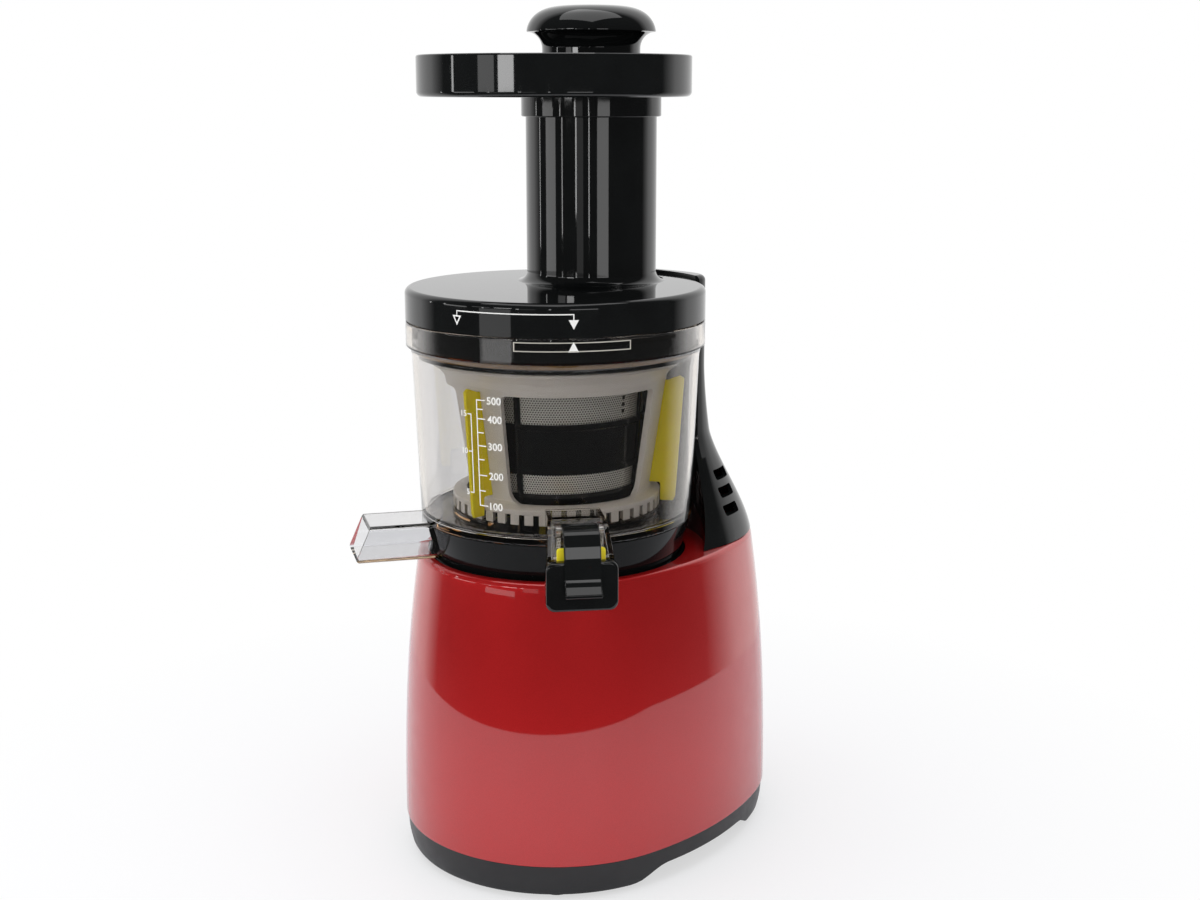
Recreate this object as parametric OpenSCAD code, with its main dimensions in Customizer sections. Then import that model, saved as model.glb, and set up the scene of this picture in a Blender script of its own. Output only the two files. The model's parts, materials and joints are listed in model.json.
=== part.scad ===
// Cold press juicer: a vertical slow juicer with a lift-off bowl set.
// Millimetres, +Z up. The origin is on the table under the middle of the base, the front is -Y.

/* [Base] */
// How far the base's round ends stand out beyond the lid
base_over = 5.4; // [3:0.2:8]
// How far the base's sides bulge beyond its round ends at its middle
side_bulge = 3.6; // [2:0.1:8]
// Distance between the centres of the round front and the round rear
base_len = 52.5; // [48:0.5:60]
// Height of the base's top deck above the table
base_h = 160; // [156:1:166]
// How far the sides lean in from the seam to the deck
base_taper = 9.4; // [7:0.2:11]
// Rounding of the deck's outer edge
deck_round = 2.5; // [1:0.5:3]
// Height of the seam between the tray and the housing
seam_z = 19; // [17:0.5:21]
// Wall of the housing and of the tray
shell_wall = 3; // [2.5:0.1:3.5]
// Height of the rubber feet below the tray's rim
foot_h = 3; // [2:0.5:4]
// Diameter of the rubber feet
foot_d = 18; // [14:1:22]
// Rise of the arch in each side of the tray
arch_rise = 7.5; // [5:0.5:8]

/* [Column] */
// Height of the column's top above the closed lid
column_over_lid = 2.5; // [1:0.5:5]
// Gap between the lid and the column
column_gap = 1.3; // [1:0.1:2]
// Thickness of the column's slim head
column_head_t = 5.7; // [5.2:0.1:7]
// Half angle that the head spans behind the bowl
column_head_angle = 31.5; // [28:0.5:35]
// Half angle that the column's foot spans behind the bowl
column_foot_angle = 63; // [60:0.5:64]
// Number of cooling slots in each side
vent_count = 3; // [2:1:3]
// Height of a cooling slot
vent_h = 5; // [3:0.2:6]
// Length of a cooling slot
vent_len = 15; // [12:0.5:16]

/* [Bowl] */
// Radius of the lid and of the bowl's rim
lid_r = 75; // [74:0.25:76]
// Height of the bowl's floor above the deck
floor_rise = 21; // [20:0.5:24]
// Depth of the bowl from its rim to its floor
bowl_h = 97; // [95:0.5:102]
// How far the bowl's rim stands out beyond the wall under it
rim_flare = 3; // [2.5:0.1:4]
// Outer radius of the bowl's wall at the floor
bowl_foot_r = 69; // [68.6:0.2:70]
// Wall of the bowl
bowl_wall = 2.4; // [2:0.1:2.6]
// Height of the bowl's wide rim
rim_h = 17.5; // [16:0.5:19]

/* [Spouts] */
// Direction of the juice spout from the front, to the right
juice_turn = 46; // [40:1:50]
// Direction of the pulp spout from the front, to the left
pulp_turn = 37; // [36:1:45]
// Reach of the pulp spout's lower lip from the bowl's axis
pulp_reach = 105; // [100:0.5:108]
// Outer width of the pulp spout
pulp_w = 31; // [28:0.5:33]
// Reach of the juice spout's mouth from the bowl's axis
juice_reach = 96.5; // [95:0.5:99]
// Outer width of the juice spout at its mouth
juice_w = 31; // [30:0.5:32]
// Wall of the spouts
spout_wall = 1.8; // [1.5:0.1:2]
// Width of the juice cap
cap_w = 33.5; // [32.5:0.5:36]
// Width of the cap's lever
lever_w = 17; // [15:0.5:18]
// How far the cap swings open
cap_swing = 85; // [60:5:90]

/* [Press] */
// Radius of the brush frame at its foot ring
brush_r = 52.8; // [52.6:0.1:53.1]
// Radius of the brush frame's flared top
brush_top_r = 62; // [58:0.5:64]
// Angle covered by each of the three ribs
rib_angle = 33; // [26:1:38]
// Inner radius of the strainer at its top
strainer_top_r = 44.4; // [43.5:0.1:44.8]
// Inner radius of the strainer at its foot
strainer_foot_r = 40.4; // [39.8:0.1:40.8]
// Teeth under the brush ring
ring_teeth = 46; // [46:1:46]
// Teeth of the auger's gear
auger_teeth = 14; // [14:1:14]
// Distance between the bowl gears' teeth, as a module
ring_module = 2.2; // [2.19:0.01:2.22]
// Running gap between the screw and the strainer
screw_gap = 1.2; // [0.8:0.1:2]
// Rise of the screw's thread in one turn
screw_pitch = 34; // [28:1:40]
// Distance across the flats of the hexagonal drive shaft
hex_af = 12; // [10:0.5:13]

/* [Lid and chute] */
// Height of the lid's rim
lid_h = 16.5; // [15:0.5:19]
// Rounding of the lid's top edge
lid_round = 3; // [1:0.5:4]
// Outer radius of the feed tube
tube_r = 33; // [32:0.25:34]
// Wall of the feed tube
tube_wall = 2.8; // [2.4:0.1:3.2]
// Distance from the bowl's axis back to the feed tube's axis
tube_offset = 29; // [27:0.5:30]
// Height of the feed tube above the lid
tube_h = 91.5; // [80:0.5:110]
// Fillet where the tube meets the lid
tube_fillet = 5; // [3:0.5:6]
// Angle that the lid turns to open
lid_turn_angle = 48; // [40:1:55]
// Outer radius of the hopper tray
tray_r = 67; // [64.5:0.5:75]
// Depth of the hopper tray
tray_h = 20; // [16:0.5:26]
// Wall of the hopper tray
tray_wall = 2; // [1.8:0.1:2.6]
// Height of the tray's collar below its floor
collar_h = 9.5; // [7:0.5:14]
// Radius of the pusher's knob
knob_r = 32; // [30.5:0.25:34]
// Height of the knob's edge above the tray's rim
knob_rise = 11.6; // [8:0.2:16]
// Height of the knob's dome above its edge
knob_dome = 12.8; // [9:0.2:16]

/* [Drive] */
// Teeth of the motor's pinion
pinion_teeth = 12; // [12:1:12]
// Teeth of the large wheel of the intermediate gear
wheel_teeth = 54; // [54:1:54]
// Teeth of the small wheel of the intermediate gear
idle_pinion_teeth = 13; // [13:1:13]
// Teeth of the output gear
output_teeth = 51; // [51:1:51]
// Module of the first gear pair
fast_module = 1; // [1:0.01:1.01]
// Module of the second gear pair
slow_module = 1.5; // [1.49:0.01:1.51]
// Width of the gears in the gearbox
gear_w = 9; // [7:0.5:10]
// Radius of the motor's shaft
motor_shaft_r = 4; // [3.5:0.1:4.5]
// Half width of the motor's square core
stator_half = 41; // [38:0.5:42]
// Height of the motor's core
stator_h = 34; // [30:0.5:36]

/* [Clearances] */
// Gap between a turning shaft or pin and its bore
run_gap = 0.05; // [0.03:0.01:0.08]
// Gap between parts that slide or lie near each other
free_gap = 0.3; // [0.25:0.05:0.4]

/* [Hidden] */
$fn = 96;
eps = 0.01;

// The bowl's axis stands over the centre of the base's round front
axis_y = -base_len / 2;
rear_y = base_len / 2;
base_r = lid_r + base_over;
base_half_w = base_r + side_bulge;
bowl_top_r = lid_r - rim_flare;

// Heights, each built on the one below it
deck_z = base_h;
floor_z = deck_z + floor_rise;
rim_z = floor_z + bowl_h;
lid_z = rim_z + lid_h;
tube_z = lid_z + tube_h;
tray_z = tube_z + tray_h;
column_z = lid_z + column_over_lid;
dock_z = deck_z - 10;
gear_z = floor_z + 2.7;
gear_h = 5;
plate_z = gear_z + gear_h + 1.8;
mesh_z = plate_z + 2.5;
ring_top_z = rim_z - rim_h + 2.5;
mesh_top_z = ring_top_z - 14;
tray_rim_z = foot_h - 0.5;
tray_floor_z = tray_rim_z + arch_rise + 1;
tray_floor_t = 3;

// Outline of the base: round ends joined by long side arcs that meet them smoothly
side_r = (pow(base_half_w, 2) + pow(base_len / 2, 2) - pow(base_r, 2)) / (2 * (base_half_w - base_r));
side_c = side_r - base_half_w;
side_a = asin(base_len / 2 / (side_r - base_r));
lean_power = 2.3;

// Inset of the housing's wall at height z
function lean(z) = base_taper * pow(max(0, z - seam_z) / (deck_z - seam_z), lean_power);
function lerp(a, b, t) = a + (b - a) * t;
function clamp(v, lo, hi) = min(max(v, lo), hi);

// Colours
RED = [0.70, 0.10, 0.09];
BLACK = [0.05, 0.05, 0.06];
CLEAR = [0.80, 0.78, 0.70, 0.35];
CREAM = [0.80, 0.77, 0.70];
YELLOW = [0.88, 0.80, 0.10];
STEEL = [0.70, 0.70, 0.72];
COPPER = [0.72, 0.42, 0.22];
GREY = [0.45, 0.45, 0.47];
GREEN = [0.10, 0.35, 0.18];

// ---------- shared shapes ----------

// Moves its children to the bowl's axis
module on_axis() {
    translate([0, axis_y, 0]) children();
}

// A ring about Z from radius r0 to r1 and from z0 to z1
module ring(r0, r1, z0, z1) {
    translate([0, 0, z0]) difference() {
        cylinder(r = r1, h = z1 - z0);
        translate([0, 0, -eps]) cylinder(r = r0, h = z1 - z0 + 2 * eps);
    }
}

// Solid of the base's outline whose wall follows profile points [inset, z]
module base_solid(profile) {
    z0 = profile[0][1];
    z1 = profile[len(profile) - 1][1];
    core = side_r - base_r - 3;
    for (end = [[axis_y, 180 + side_a], [rear_y, side_a]])
        translate([0, end[0], 0]) rotate([0, 0, end[1]])
            rotate_extrude(angle = 180 - 2 * side_a)
                polygon(concat([[0, z0]], [for (p = profile) [base_r - p[0], p[1]]], [[0, z1]]));
    for (side = [0, 180])
        rotate([0, 0, side]) translate([-side_c, 0, 0]) rotate([0, 0, -side_a])
            rotate_extrude(angle = 2 * side_a)
                polygon(concat([[core, z0]], [for (p = profile) [side_r - p[0], p[1]]], [[core, z1]]));
}

function arc_points(x, y, r, a0, a1, n) =
    [for (i = [0:n - 1]) let (a = lerp(a0, a1, i / n)) [x + r * cos(a), y + r * sin(a)]];

// Points of the base's outline, shifted inwards by inset
function base_outline(inset) = concat(
    arc_points(-side_c, 0, side_r - inset, -side_a, side_a, 12),
    arc_points(0, rear_y, base_r - inset, side_a, 180 - side_a, 28),
    arc_points(side_c, 0, side_r - inset, 180 - side_a, 180 + side_a, 12),
    arc_points(0, axis_y, base_r - inset, 180 + side_a, 360 - side_a, 28)
);

module base_skin(profile) {
    skin([for (p = profile) base_outline(p[0])], [for (p = profile) p[1]]);
}

// Profile of the housing's outside from the seam to the deck, shifted inwards by inset
function wall_profile(inset, z0, z1, steps) =
    [for (i = [0:steps]) let (z = lerp(z0, z1, i / steps)) [lean(z) + inset, z]];

// Points of a quarter round of radius r: inset and height from its start
function round_points(r, steps = 5) =
    [for (i = [1:steps]) let (a = 90 * i / steps) [r * (1 - cos(a)), r * sin(a)]];

// Involute gear outline: n teeth of module m, addendum a, dedendum d, backlash b
function half_tooth(n, m, b, r) =
    let (base = acos(min(1, n * m / 2 * cos(20) / r)))
    90 / n - b / (n * m) * 180 / PI + tan(20) * 180 / PI - 20 - tan(base) * 180 / PI + base;

function polar(r, a) = [r * cos(a), r * sin(a)];

module gear_outline(n, m, a, d, b) {
    low = max(n * m / 2 * cos(20), n * m / 2 - d);
    high = n * m / 2 + a;
    root = n * m / 2 - d;
    steps = 4;
    flank = [for (i = [0:steps]) lerp(low, high, i / steps)];
    polygon([
        for (k = [0:n - 1]) let (c = k * 360 / n) each concat(
            [polar(root, c - half_tooth(n, m, b, low) - eps)],
            [for (r = flank) polar(r, c - half_tooth(n, m, b, r))],
            [for (i = [steps:-1:0]) polar(flank[i], c + half_tooth(n, m, b, flank[i]))],
            [polar(root, c + half_tooth(n, m, b, low) + eps)]
        )
    ]);
}

// Box with round vertical edges, centred on X and Y
module round_box(x, y, z, r) {
    linear_extrude(z) union() {
        square([x - 2 * r, y], center = true);
        square([x, y - 2 * r], center = true);
        for (sx = [-1, 1], sy = [-1, 1])
            translate([sx * (x / 2 - r), sy * (y / 2 - r)]) circle(r = r, $fn = 32);
    }
}

// Pan-head screw pointing up from its head at z = 0
module screw(r, len, head_r, head_h) {
    cylinder(r = head_r, h = head_h, $fn = 32);
    translate([0, 0, head_h - eps]) cylinder(r = r, h = len + eps, $fn = 24);
}

// Strip of a side view, drawn in radius and height, of width w about the X axis
module side_slab(points, w) {
    rotate([90, 0, 0]) linear_extrude(w, center = true) polygon(points);
}

// ---------- base ----------

post_r = 5;
screw_r = 1.6;
post_turn = 20;
post_reach = base_r - 11.4;

// Distance from the centre of a round end to the base's outline, in the direction a from the side
function outline_reach(a) = a >= side_a ? base_r :
    let (b = side_c * cos(a) + rear_y * sin(a))
    sqrt(pow(b, 2) + pow(side_r, 2) - pow(side_c, 2) - pow(rear_y, 2)) - b;

post_places = [for (s = [-1, 1], e = [-1, 1])
    [s * post_reach * cos(post_turn), e * (rear_y + post_reach * sin(post_turn))]];
dock_hole_r = 66;
cable_slot = [36, 12];
cable_slot_y = rear_y + 12;
switch_size = [31, 24];
switch_z = 112;
gland_z = 44;
switch_seat = 1.15;
gland_r = 6.5;

function rear_wall_y(z) = rear_y + base_r - lean(z);

module base_housing() {
    color(RED) difference() {
        union() {
            difference() {
                base_skin(concat(
                    wall_profile(0, seam_z, deck_z - deck_round, 7),
                    [for (p = round_points(deck_round, 4)) [lean(deck_z) + p[0], deck_z - deck_round + p[1]]]
                ));
                base_skin(wall_profile(shell_wall, seam_z - 1, deck_z - shell_wall, 3));
            }
            for (s = [-1, 1], z = board_posts_z) translate([s * board_post_x, board_y + board[1] + free_gap, z])
                rotate([-90, 0, 0]) cylinder(r = 2.5, h = rear_y + base_r - 8.8 - board_y, $fn = 32);
            for (s = [0, 180], e = [-1, 1]) translate([0, (s == 0 ? e : -e) * rear_y, seam_z + 2])
                rotate([0, 0, s + e * post_turn]) translate([post_reach, 0, 0]) {
                    cylinder(r = post_r, h = 30);
                    translate([0, -1.5, 4]) cube([outline_reach(post_turn) - shell_wall + 1 - post_reach, 3, 26]);
                }
            translate([0, rear_wall_y(switch_z) + switch_seat - 5.5, switch_z]) rotate([-90, 0, 0])
                linear_extrude(5.5) offset(r = 2) square([switch_size[0] + 3, switch_size[1] + 2], center = true);
        }
        on_axis() translate([0, 0, deck_z - 20]) cylinder(r = dock_hole_r, h = 40);
        translate([0, cable_slot_y, deck_z - 10]) round_box(cable_slot[0], cable_slot[1], 20, 3);
        for (p = post_places)
            translate([p[0], p[1], seam_z]) cylinder(r = screw_r - 0.2, h = 30, $fn = 24);
        for (s = [-1, 1])
            translate([s * column_screw_x, column_screw_y, deck_z - 10])
                cylinder(r = screw_r + 0.4, h = 20, $fn = 24);
        translate([0, rear_wall_y(switch_z) - 8, switch_z]) rotate([-90, 0, 0])
            linear_extrude(20) square(switch_size, center = true);
        translate([0, rear_wall_y(gland_z) - 10, gland_z]) rotate([-90, 0, 0])
            cylinder(r = gland_r + free_gap, h = 20);
    }
}

// Side view of the arch that lifts the tray's rim between its feet
arch_front = axis_y - base_r + 49.4;
arch_rear = rear_y + base_r - 60.4;
arch_slope = 21;

function ease(t) = t * t * (3 - 2 * t);

module arch_cut() {
    steps = 8;
    rotate([90, 0, 90]) linear_extrude(4 * base_r, center = true) polygon(concat(
        [[arch_front, -1]],
        [for (i = [0:steps]) [arch_front + arch_slope * i / steps, tray_rim_z + arch_rise * ease(i / steps)]],
        [for (i = [steps:-1:0]) [arch_rear - arch_slope * i / steps, tray_rim_z + arch_rise * ease(i / steps)]],
        [[arch_rear, -1]]
    ));
}

front_foot = polar(base_r - 16.36876, 51.34019);
rear_foot = polar(base_r - 18.11037, 42.39744);
foot_places = [for (p = [[front_foot[0], axis_y - front_foot[1]], [rear_foot[0], rear_y + rear_foot[1]]], s = [1, -1])
    [s * p[0], p[1]]];
foot_seat_z = tray_rim_z + 2.5;
tray_tuck = 1.2;

module base_tray() {
    skirt = [[4.2, tray_rim_z], [2.6, tray_rim_z + 2], [1.4, tray_rim_z + 7], [0.7, seam_z]];
    lip = shell_wall + free_gap;
    color(BLACK) difference() {
        union() {
            difference() {
                base_solid(skirt);
                base_solid([[6.5, tray_rim_z - 1], [shell_wall + 1, seam_z + 1]]);
                arch_cut();
            }
            base_solid([[3.2, tray_floor_z], [3.2, tray_floor_z + tray_floor_t]]);
            difference() {
                base_solid([[lip, tray_floor_z + 1], [lip, seam_z + 5]]);
                base_solid([[lip + 2, tray_floor_z], [lip + 2, seam_z + 6]]);
            }
            for (p = foot_places)
                translate([p[0], p[1], foot_seat_z])
                    cylinder(r = foot_d / 2 + 3, h = tray_floor_z - foot_seat_z + 1);
            for (p = post_places)
                translate([p[0], p[1], tray_floor_z]) cylinder(r = post_r, h = seam_z + 2 - tray_floor_z);
        }
        for (p = post_places) translate([p[0], p[1], 0]) {
            cylinder(r = screw_r + 0.2, h = 40, $fn = 24);
            cylinder(r = 4, h = tray_floor_z + 3, $fn = 32);
        }
        for (i = [-4:4])
            translate([i * 7, -10, tray_floor_z - 1]) round_box(3, 44, 6, 1.4);
    }
}

module rubber_feet() {
    color(BLACK) for (p = foot_places) translate([p[0], p[1], 0]) {
        translate([0, 0, 1]) cylinder(r = foot_d / 2, h = foot_seat_z - 1);
        cylinder(r1 = foot_d / 2 - 1, r2 = foot_d / 2, h = 1);
    }
}

module base_screws() {
    color(STEEL) for (p = post_places)
        translate([p[0], p[1], tray_floor_z + 0.8]) screw(screw_r - 0.3, 20, 3.4, 2.2);
}

// Dish in the deck that the bowl stands in, with the drive shaft's seal at its centre
seal_r = 13;

module bowl_dock() {
    t = 2.5;
    color(BLACK) on_axis() difference() {
        union() {
            rotate_extrude() polygon([
                [seal_r - 4, dock_z - t], [62.5, dock_z - t], [dock_hole_r - free_gap, dock_z + 4],
                [dock_hole_r - free_gap, deck_z - 0.4], [dock_hole_r - 1.8, deck_z - 0.4],
                [dock_hole_r - 1.8, dock_z + 5.5], [61, dock_z], [seal_r - 4, dock_z]
            ]);
            for (a = [45:90:315]) rotate([0, 0, a])
                translate([dock_boss_r, 0, cover_top_z]) cylinder(r = 5, h = dock_z - t / 2 - cover_top_z);
        }
        translate([0, 0, dock_z - 5]) cylinder(r = seal_r - 4 + eps, h = 10);
        for (a = [45:90:315]) rotate([0, 0, a])
            translate([dock_boss_r, 0, cover_top_z - 1]) cylinder(r = screw_r, h = 12, $fn = 24);
    }
}

shaft_r = hex_af / 2 / cos(30) + 0.6;

module shaft_seal() {
    color(YELLOW) on_axis() ring(shaft_r + free_gap, seal_r - 4.3, dock_z - 2.5, dock_z + 3);
}

// ---------- column ----------

column_r = lid_r + column_gap;
sweep_z = deck_z + 53;
flare_z = deck_z + 90;
head_rear = column_r + column_head_t;

function sweep(z) = pow(clamp((sweep_z - z) / (sweep_z - deck_z), 0, 1), 1.5);
function flare(z) = pow(clamp((flare_z - z) / (flare_z - deck_z), 0, 1), 1.5);
function tip_angle(z) = lerp(column_head_angle, column_foot_angle, sweep(z));
function tip_x(z) = column_r * sin(tip_angle(z));
function side_x(z) = min(tip_x(z) + 1.8, base_half_w - lean(deck_z) - 2.6);
function shoulder_y(z) = lerp(column_r * cos(column_head_angle) + 1, base_len, sweep(z));
function rear_reach(z) = lerp(head_rear, base_len + base_r - lean(deck_z) - 2.4, flare(z));
function bulge_power(z) = lerp(3, 2.15, pow(flare(z), 2));

// Half outline of the column's back at height z, from the side to the middle, inset by t
back_steps = 12;
function back_points(z, t) = [
    for (i = [0:back_steps]) let (a = 90 * i / back_steps, e = 2 / bulge_power(z))
        [(side_x(z) - t) * pow(cos(a), e), shoulder_y(z) + (rear_reach(z) - shoulder_y(z) - t) * pow(sin(a), e)]
];

// Whole outline at height z: the right tip, round the back, the left tip and the bowl side
bowl_steps = 16;
function column_section(z, trim) =
    let (back = back_points(z, trim), a = tip_angle(z) - trim / 2)
    concat(
        back,
        [for (i = [back_steps - 1:-1:0]) [-back[i][0], back[i][1]]],
        [for (i = [0:bowl_steps]) let (b = lerp(-a, a, i / bowl_steps)) [column_r * sin(b), column_r * cos(b)]]
    );

// Outline of the space inside the column
function hollow_section(z) =
    let (t = 2.5, w = side_x(z) - 4.5, p = bulge_power(z), inner = column_r + t)
    concat(
        [for (i = [0:2 * back_steps]) let (x = w * cos(90 * i / back_steps))
            [x, shoulder_y(z) + (rear_reach(z) - shoulder_y(z) - t) * pow(1 - pow(abs(x) / (side_x(z) - t), p), 1 / p)]],
        [for (i = [0:bowl_steps]) let (x = -w * cos(180 * i / bowl_steps)) [x, sqrt(pow(inner, 2) - pow(x, 2))]]
    );

// Closed shell between an outer skin and an inner one, open at the bottom: both stacks of outlines have n points
module hollow_skin(outer, outer_heights, inner, inner_heights) {
    n = len(outer[0]);
    rows = len(outer);
    deep = len(inner);
    base = rows * n;
    points = concat(
        [for (r = [0:rows - 1], p = outer[r]) [p[0], p[1], outer_heights[r]]],
        [for (r = [0:deep - 1], p = inner[r]) [p[0], p[1], inner_heights[r]]]
    );
    faces = concat(
        [for (r = [0:rows - 2], i = [0:n - 1]) let (j = (i + 1) % n, a = r * n) each [
            [a + i, a + n + i, a + n + j], [a + i, a + n + j, a + j]
        ]],
        [for (r = [0:deep - 2], i = [0:n - 1]) let (j = (i + 1) % n, a = base + r * n) each [
            [a + i, a + n + j, a + n + i], [a + i, a + j, a + n + j]
        ]],
        [for (i = [0:n - 1]) let (j = (i + 1) % n) each [[i, j, base + j], [i, base + j, base + i]]],
        [[for (i = [n - 1:-1:0]) (rows - 1) * n + i]],
        [[for (i = [0:n - 1]) base + (deep - 1) * n + i]]
    );
    polyhedron(points, faces, convexity = 8);
}

// Closed skin through outlines of equal length, one for each height
module skin(sections, heights) {
    n = len(sections[0]);
    rows = len(heights);
    points = [for (r = [0:rows - 1], p = sections[r]) [p[0], p[1], heights[r]]];
    faces = concat(
        [[for (i = [0:n - 1]) i]],
        [for (r = [0:rows - 2], i = [0:n - 1]) let (j = (i + 1) % n, a = r * n) each [
            [a + i, a + n + i, a + n + j], [a + i, a + n + j, a + j]
        ]],
        [[for (i = [n - 1:-1:0]) (rows - 1) * n + i]]
    );
    polyhedron(points, faces, convexity = 6);
}

head_round = 3;
column_heights = concat(
    [for (i = [0:14]) lerp(deck_z, flare_z, pow(i / 14, 1.25))],
    [column_z - head_round, column_z - head_round / 2, column_z - head_round / 6, column_z]
);
column_trims = concat([for (i = [0:15]) 0], [head_round / 7, head_round / 2.5, head_round]);
hollow_top = deck_z + 68;
hollow_heights = [for (i = [0:9]) lerp(deck_z, hollow_top, i / 9)];

vent_pitch = 8.3;
vent_top_z = deck_z + 31;
column_screw_x = (column_r + 7.246394) * sin(42.089162);
column_screw_y = axis_y + (column_r + 7.246394) * cos(42.089162);
sensor_z = column_z - 15;

module rear_column() {
    color(BLACK) on_axis() difference() {
        hollow_skin(
            [for (i = [0:len(column_heights) - 1]) column_section(column_heights[i], column_trims[i])], column_heights,
            [for (z = hollow_heights) hollow_section(z)], hollow_heights
        );
        for (i = [0:vent_count - 1], s = [-1, 1]) let (z = vent_top_z - i * vent_pitch)
            translate([s * (side_x(z) + 4), shoulder_y(z) + 7 + vent_len / 2 - i * 0.5, z - vent_h / 2])
                translate([-20, -vent_len / 2, 0]) cube([40, vent_len, vent_h]);
        translate([-7, column_r + 3, hollow_top - 5]) cube([14, 2.2, sensor_z + 9 - hollow_top + 5]);
    }
}

module column_screws() {
    color(STEEL) for (s = [-1, 1])
        translate([s * column_screw_x, column_screw_y, deck_z - shell_wall - 2.2]) screw(screw_r, 3, 3.4, 2.2);
}

module lid_sensor() {
    color(GREEN) on_axis()
        translate([-6, column_r + 3.3, sensor_z - 8]) cube([12, 1.4, 16]);
}

// ---------- motor and gearbox ----------

fast_distance = (pinion_teeth + wheel_teeth) * fast_module / 2;
slow_distance = (idle_pinion_teeth + output_teeth) * slow_module / 2;
axle_y = slow_distance;
motor_y = slow_distance - fast_distance;
motor_z = tray_floor_z + tray_floor_t + 33;
bracket_t = 3;
winding_h = 11;
case_z = motor_z + stator_h + winding_h + bracket_t + 3;
case_t = 3;
fast_z = case_z + case_t + 1.5;
slow_z = fast_z + gear_w + 2;
cover_z = slow_z + gear_w + 1.5;
cover_top_z = cover_z + case_t;
case_r = output_teeth * slow_module / 2 + 6.5;
case_rear_r = wheel_teeth * fast_module / 2 + 6;
dock_boss_r = case_r + 6;
pinion_top_z = fast_z + gear_w;
bearing_r = 9.5;
bearing_h = 7;
fan_z = motor_z - winding_h - bracket_t - 15;

// Outline of the gearbox: two circles and the web between them, grown by g
module case_outline(g) {
    circle(r = case_r + g);
    translate([0, axle_y]) circle(r = case_rear_r + g);
    lean_a = asin((case_r - case_rear_r) / axle_y);
    polygon([
        for (s = [1, -1]) each let (
            a = polar(case_r + g - 0.3, lean_a),
            b = polar(case_rear_r + g - 0.3, lean_a),
            ends = [[a[0], a[1]], [b[0], axle_y + b[1]]]
        ) (s > 0 ? ends : [[-b[0], axle_y + b[1]], [-a[0], a[1]]])
    ]);
}

module ear_outline() {
    for (a = [45:90:315]) rotate([0, 0, a]) {
        translate([dock_boss_r, 0]) circle(r = 5.5);
        translate([case_r - 8, -5]) square([dock_boss_r - case_r + 8, 10]);
    }
}

module case_plate(t) {
    linear_extrude(t) {
        case_outline(0);
        ear_outline();
    }
}

module gearbox_case() {
    color(GREY) on_axis() difference() {
        union() {
            translate([0, 0, case_z]) linear_extrude(cover_z - case_z - 4) case_outline(0);
            translate([0, 0, cover_z - 4]) case_plate(4);
        }
        translate([0, 0, case_z + case_t]) linear_extrude(cover_z) case_outline(-2.5);
        translate([0, motor_y, case_z - 1]) cylinder(r = motor_shaft_r + 2, h = 10);
        translate([0, axle_y, case_z - 1]) cylinder(r = axle_r + run_gap, h = 10);
        translate([0, 0, case_z + 1]) cylinder(r = shaft_r + 2, h = 10);
        for (a = [45:90:315]) rotate([0, 0, a])
            translate([dock_boss_r, 0, 0]) {
                translate([0, 0, cover_z - 5]) cylinder(r = screw_r + 0.2, h = 10, $fn = 24);
                translate([0, 0, cover_z - 8]) cylinder(r = 3.6, h = 4.1, $fn = 32);
            }
        for (a = [45:90:315]) translate([0, motor_y, case_z - 1]) rotate([0, 0, a])
            translate([bolt_r, 0, 0]) cylinder(r = 1.9, h = 10, $fn = 24);
    }
}

module gearbox_cover() {
    color(GREY) on_axis() difference() {
        union() {
            translate([0, 0, cover_z]) case_plate(case_t);
            translate([0, 0, cover_z]) cylinder(r = shaft_r + 6, h = 11);
        }
        translate([0, 0, cover_z - 1]) cylinder(r = shaft_r + 3, h = 20);
        translate([0, axle_y, cover_z - 1]) cylinder(r = axle_r + run_gap, h = 10);
        for (a = [45:90:315]) rotate([0, 0, a])
            translate([dock_boss_r, 0, cover_z - 5]) cylinder(r = screw_r + 0.2, h = 10, $fn = 24);
    }
}

module gearbox_screws() {
    color(STEEL) on_axis() for (a = [45:90:315]) rotate([0, 0, a])
        translate([dock_boss_r, 0, cover_z - 4 - 2.2]) screw(screw_r - 0.1, 14, 3.2, 2.2);
}

axle_r = 3;

module gear_axle() {
    color(STEEL) on_axis() translate([0, axle_y, case_z]) cylinder(r = axle_r, h = cover_z + case_t - case_z);
}

module output_bearings() {
    color(COPPER) on_axis() {
        ring(shaft_r + run_gap, shaft_r + 3, cover_z, cover_z + 11);
        ring(shaft_r - 1.5 + run_gap, shaft_r + 2, case_z + 1, case_z + case_t + 0.5);
    }
}

gear_add = 0.9;
gear_ded = 1.2;
gear_back = 0.2;

module intermediate_gear() {
    color(CREAM) on_axis() translate([0, axle_y, 0]) difference() {
        union() {
            translate([0, 0, fast_z]) linear_extrude(gear_w) rotate([0, 0, 270 + 180 / wheel_teeth])
                gear_outline(wheel_teeth, fast_module, gear_add * fast_module, gear_ded * fast_module, gear_back);
            translate([0, 0, fast_z + gear_w - eps]) cylinder(r = axle_r + 3, h = 2 + 2 * eps);
            translate([0, 0, slow_z]) linear_extrude(gear_w)
                rotate([0, 0, 270 + 180 / idle_pinion_teeth]) gear_outline(
                    idle_pinion_teeth, slow_module, gear_add * slow_module, gear_ded * slow_module, gear_back);
        }
        translate([0, 0, fast_z - 1]) cylinder(r = axle_r + run_gap, h = 40);
    }
}

module output_gear() {
    color(STEEL) on_axis() difference() {
        union() {
            translate([0, 0, slow_z]) linear_extrude(gear_w) rotate([0, 0, 90])
                gear_outline(output_teeth, slow_module, gear_add * slow_module, gear_ded * slow_module, gear_back);
        }
        translate([0, 0, slow_z - 1]) linear_extrude(20) circle(r = shaft_r - 0.5);
        for (a = [0:60:300]) rotate([0, 0, a]) translate([23, 0, slow_z - 1]) cylinder(r = 6, h = 20);
    }
}

// The drive shaft: a stepped round foot in the gearbox and a hexagon up through the bowl
shaft_top_z = gear_z + 19;

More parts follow.
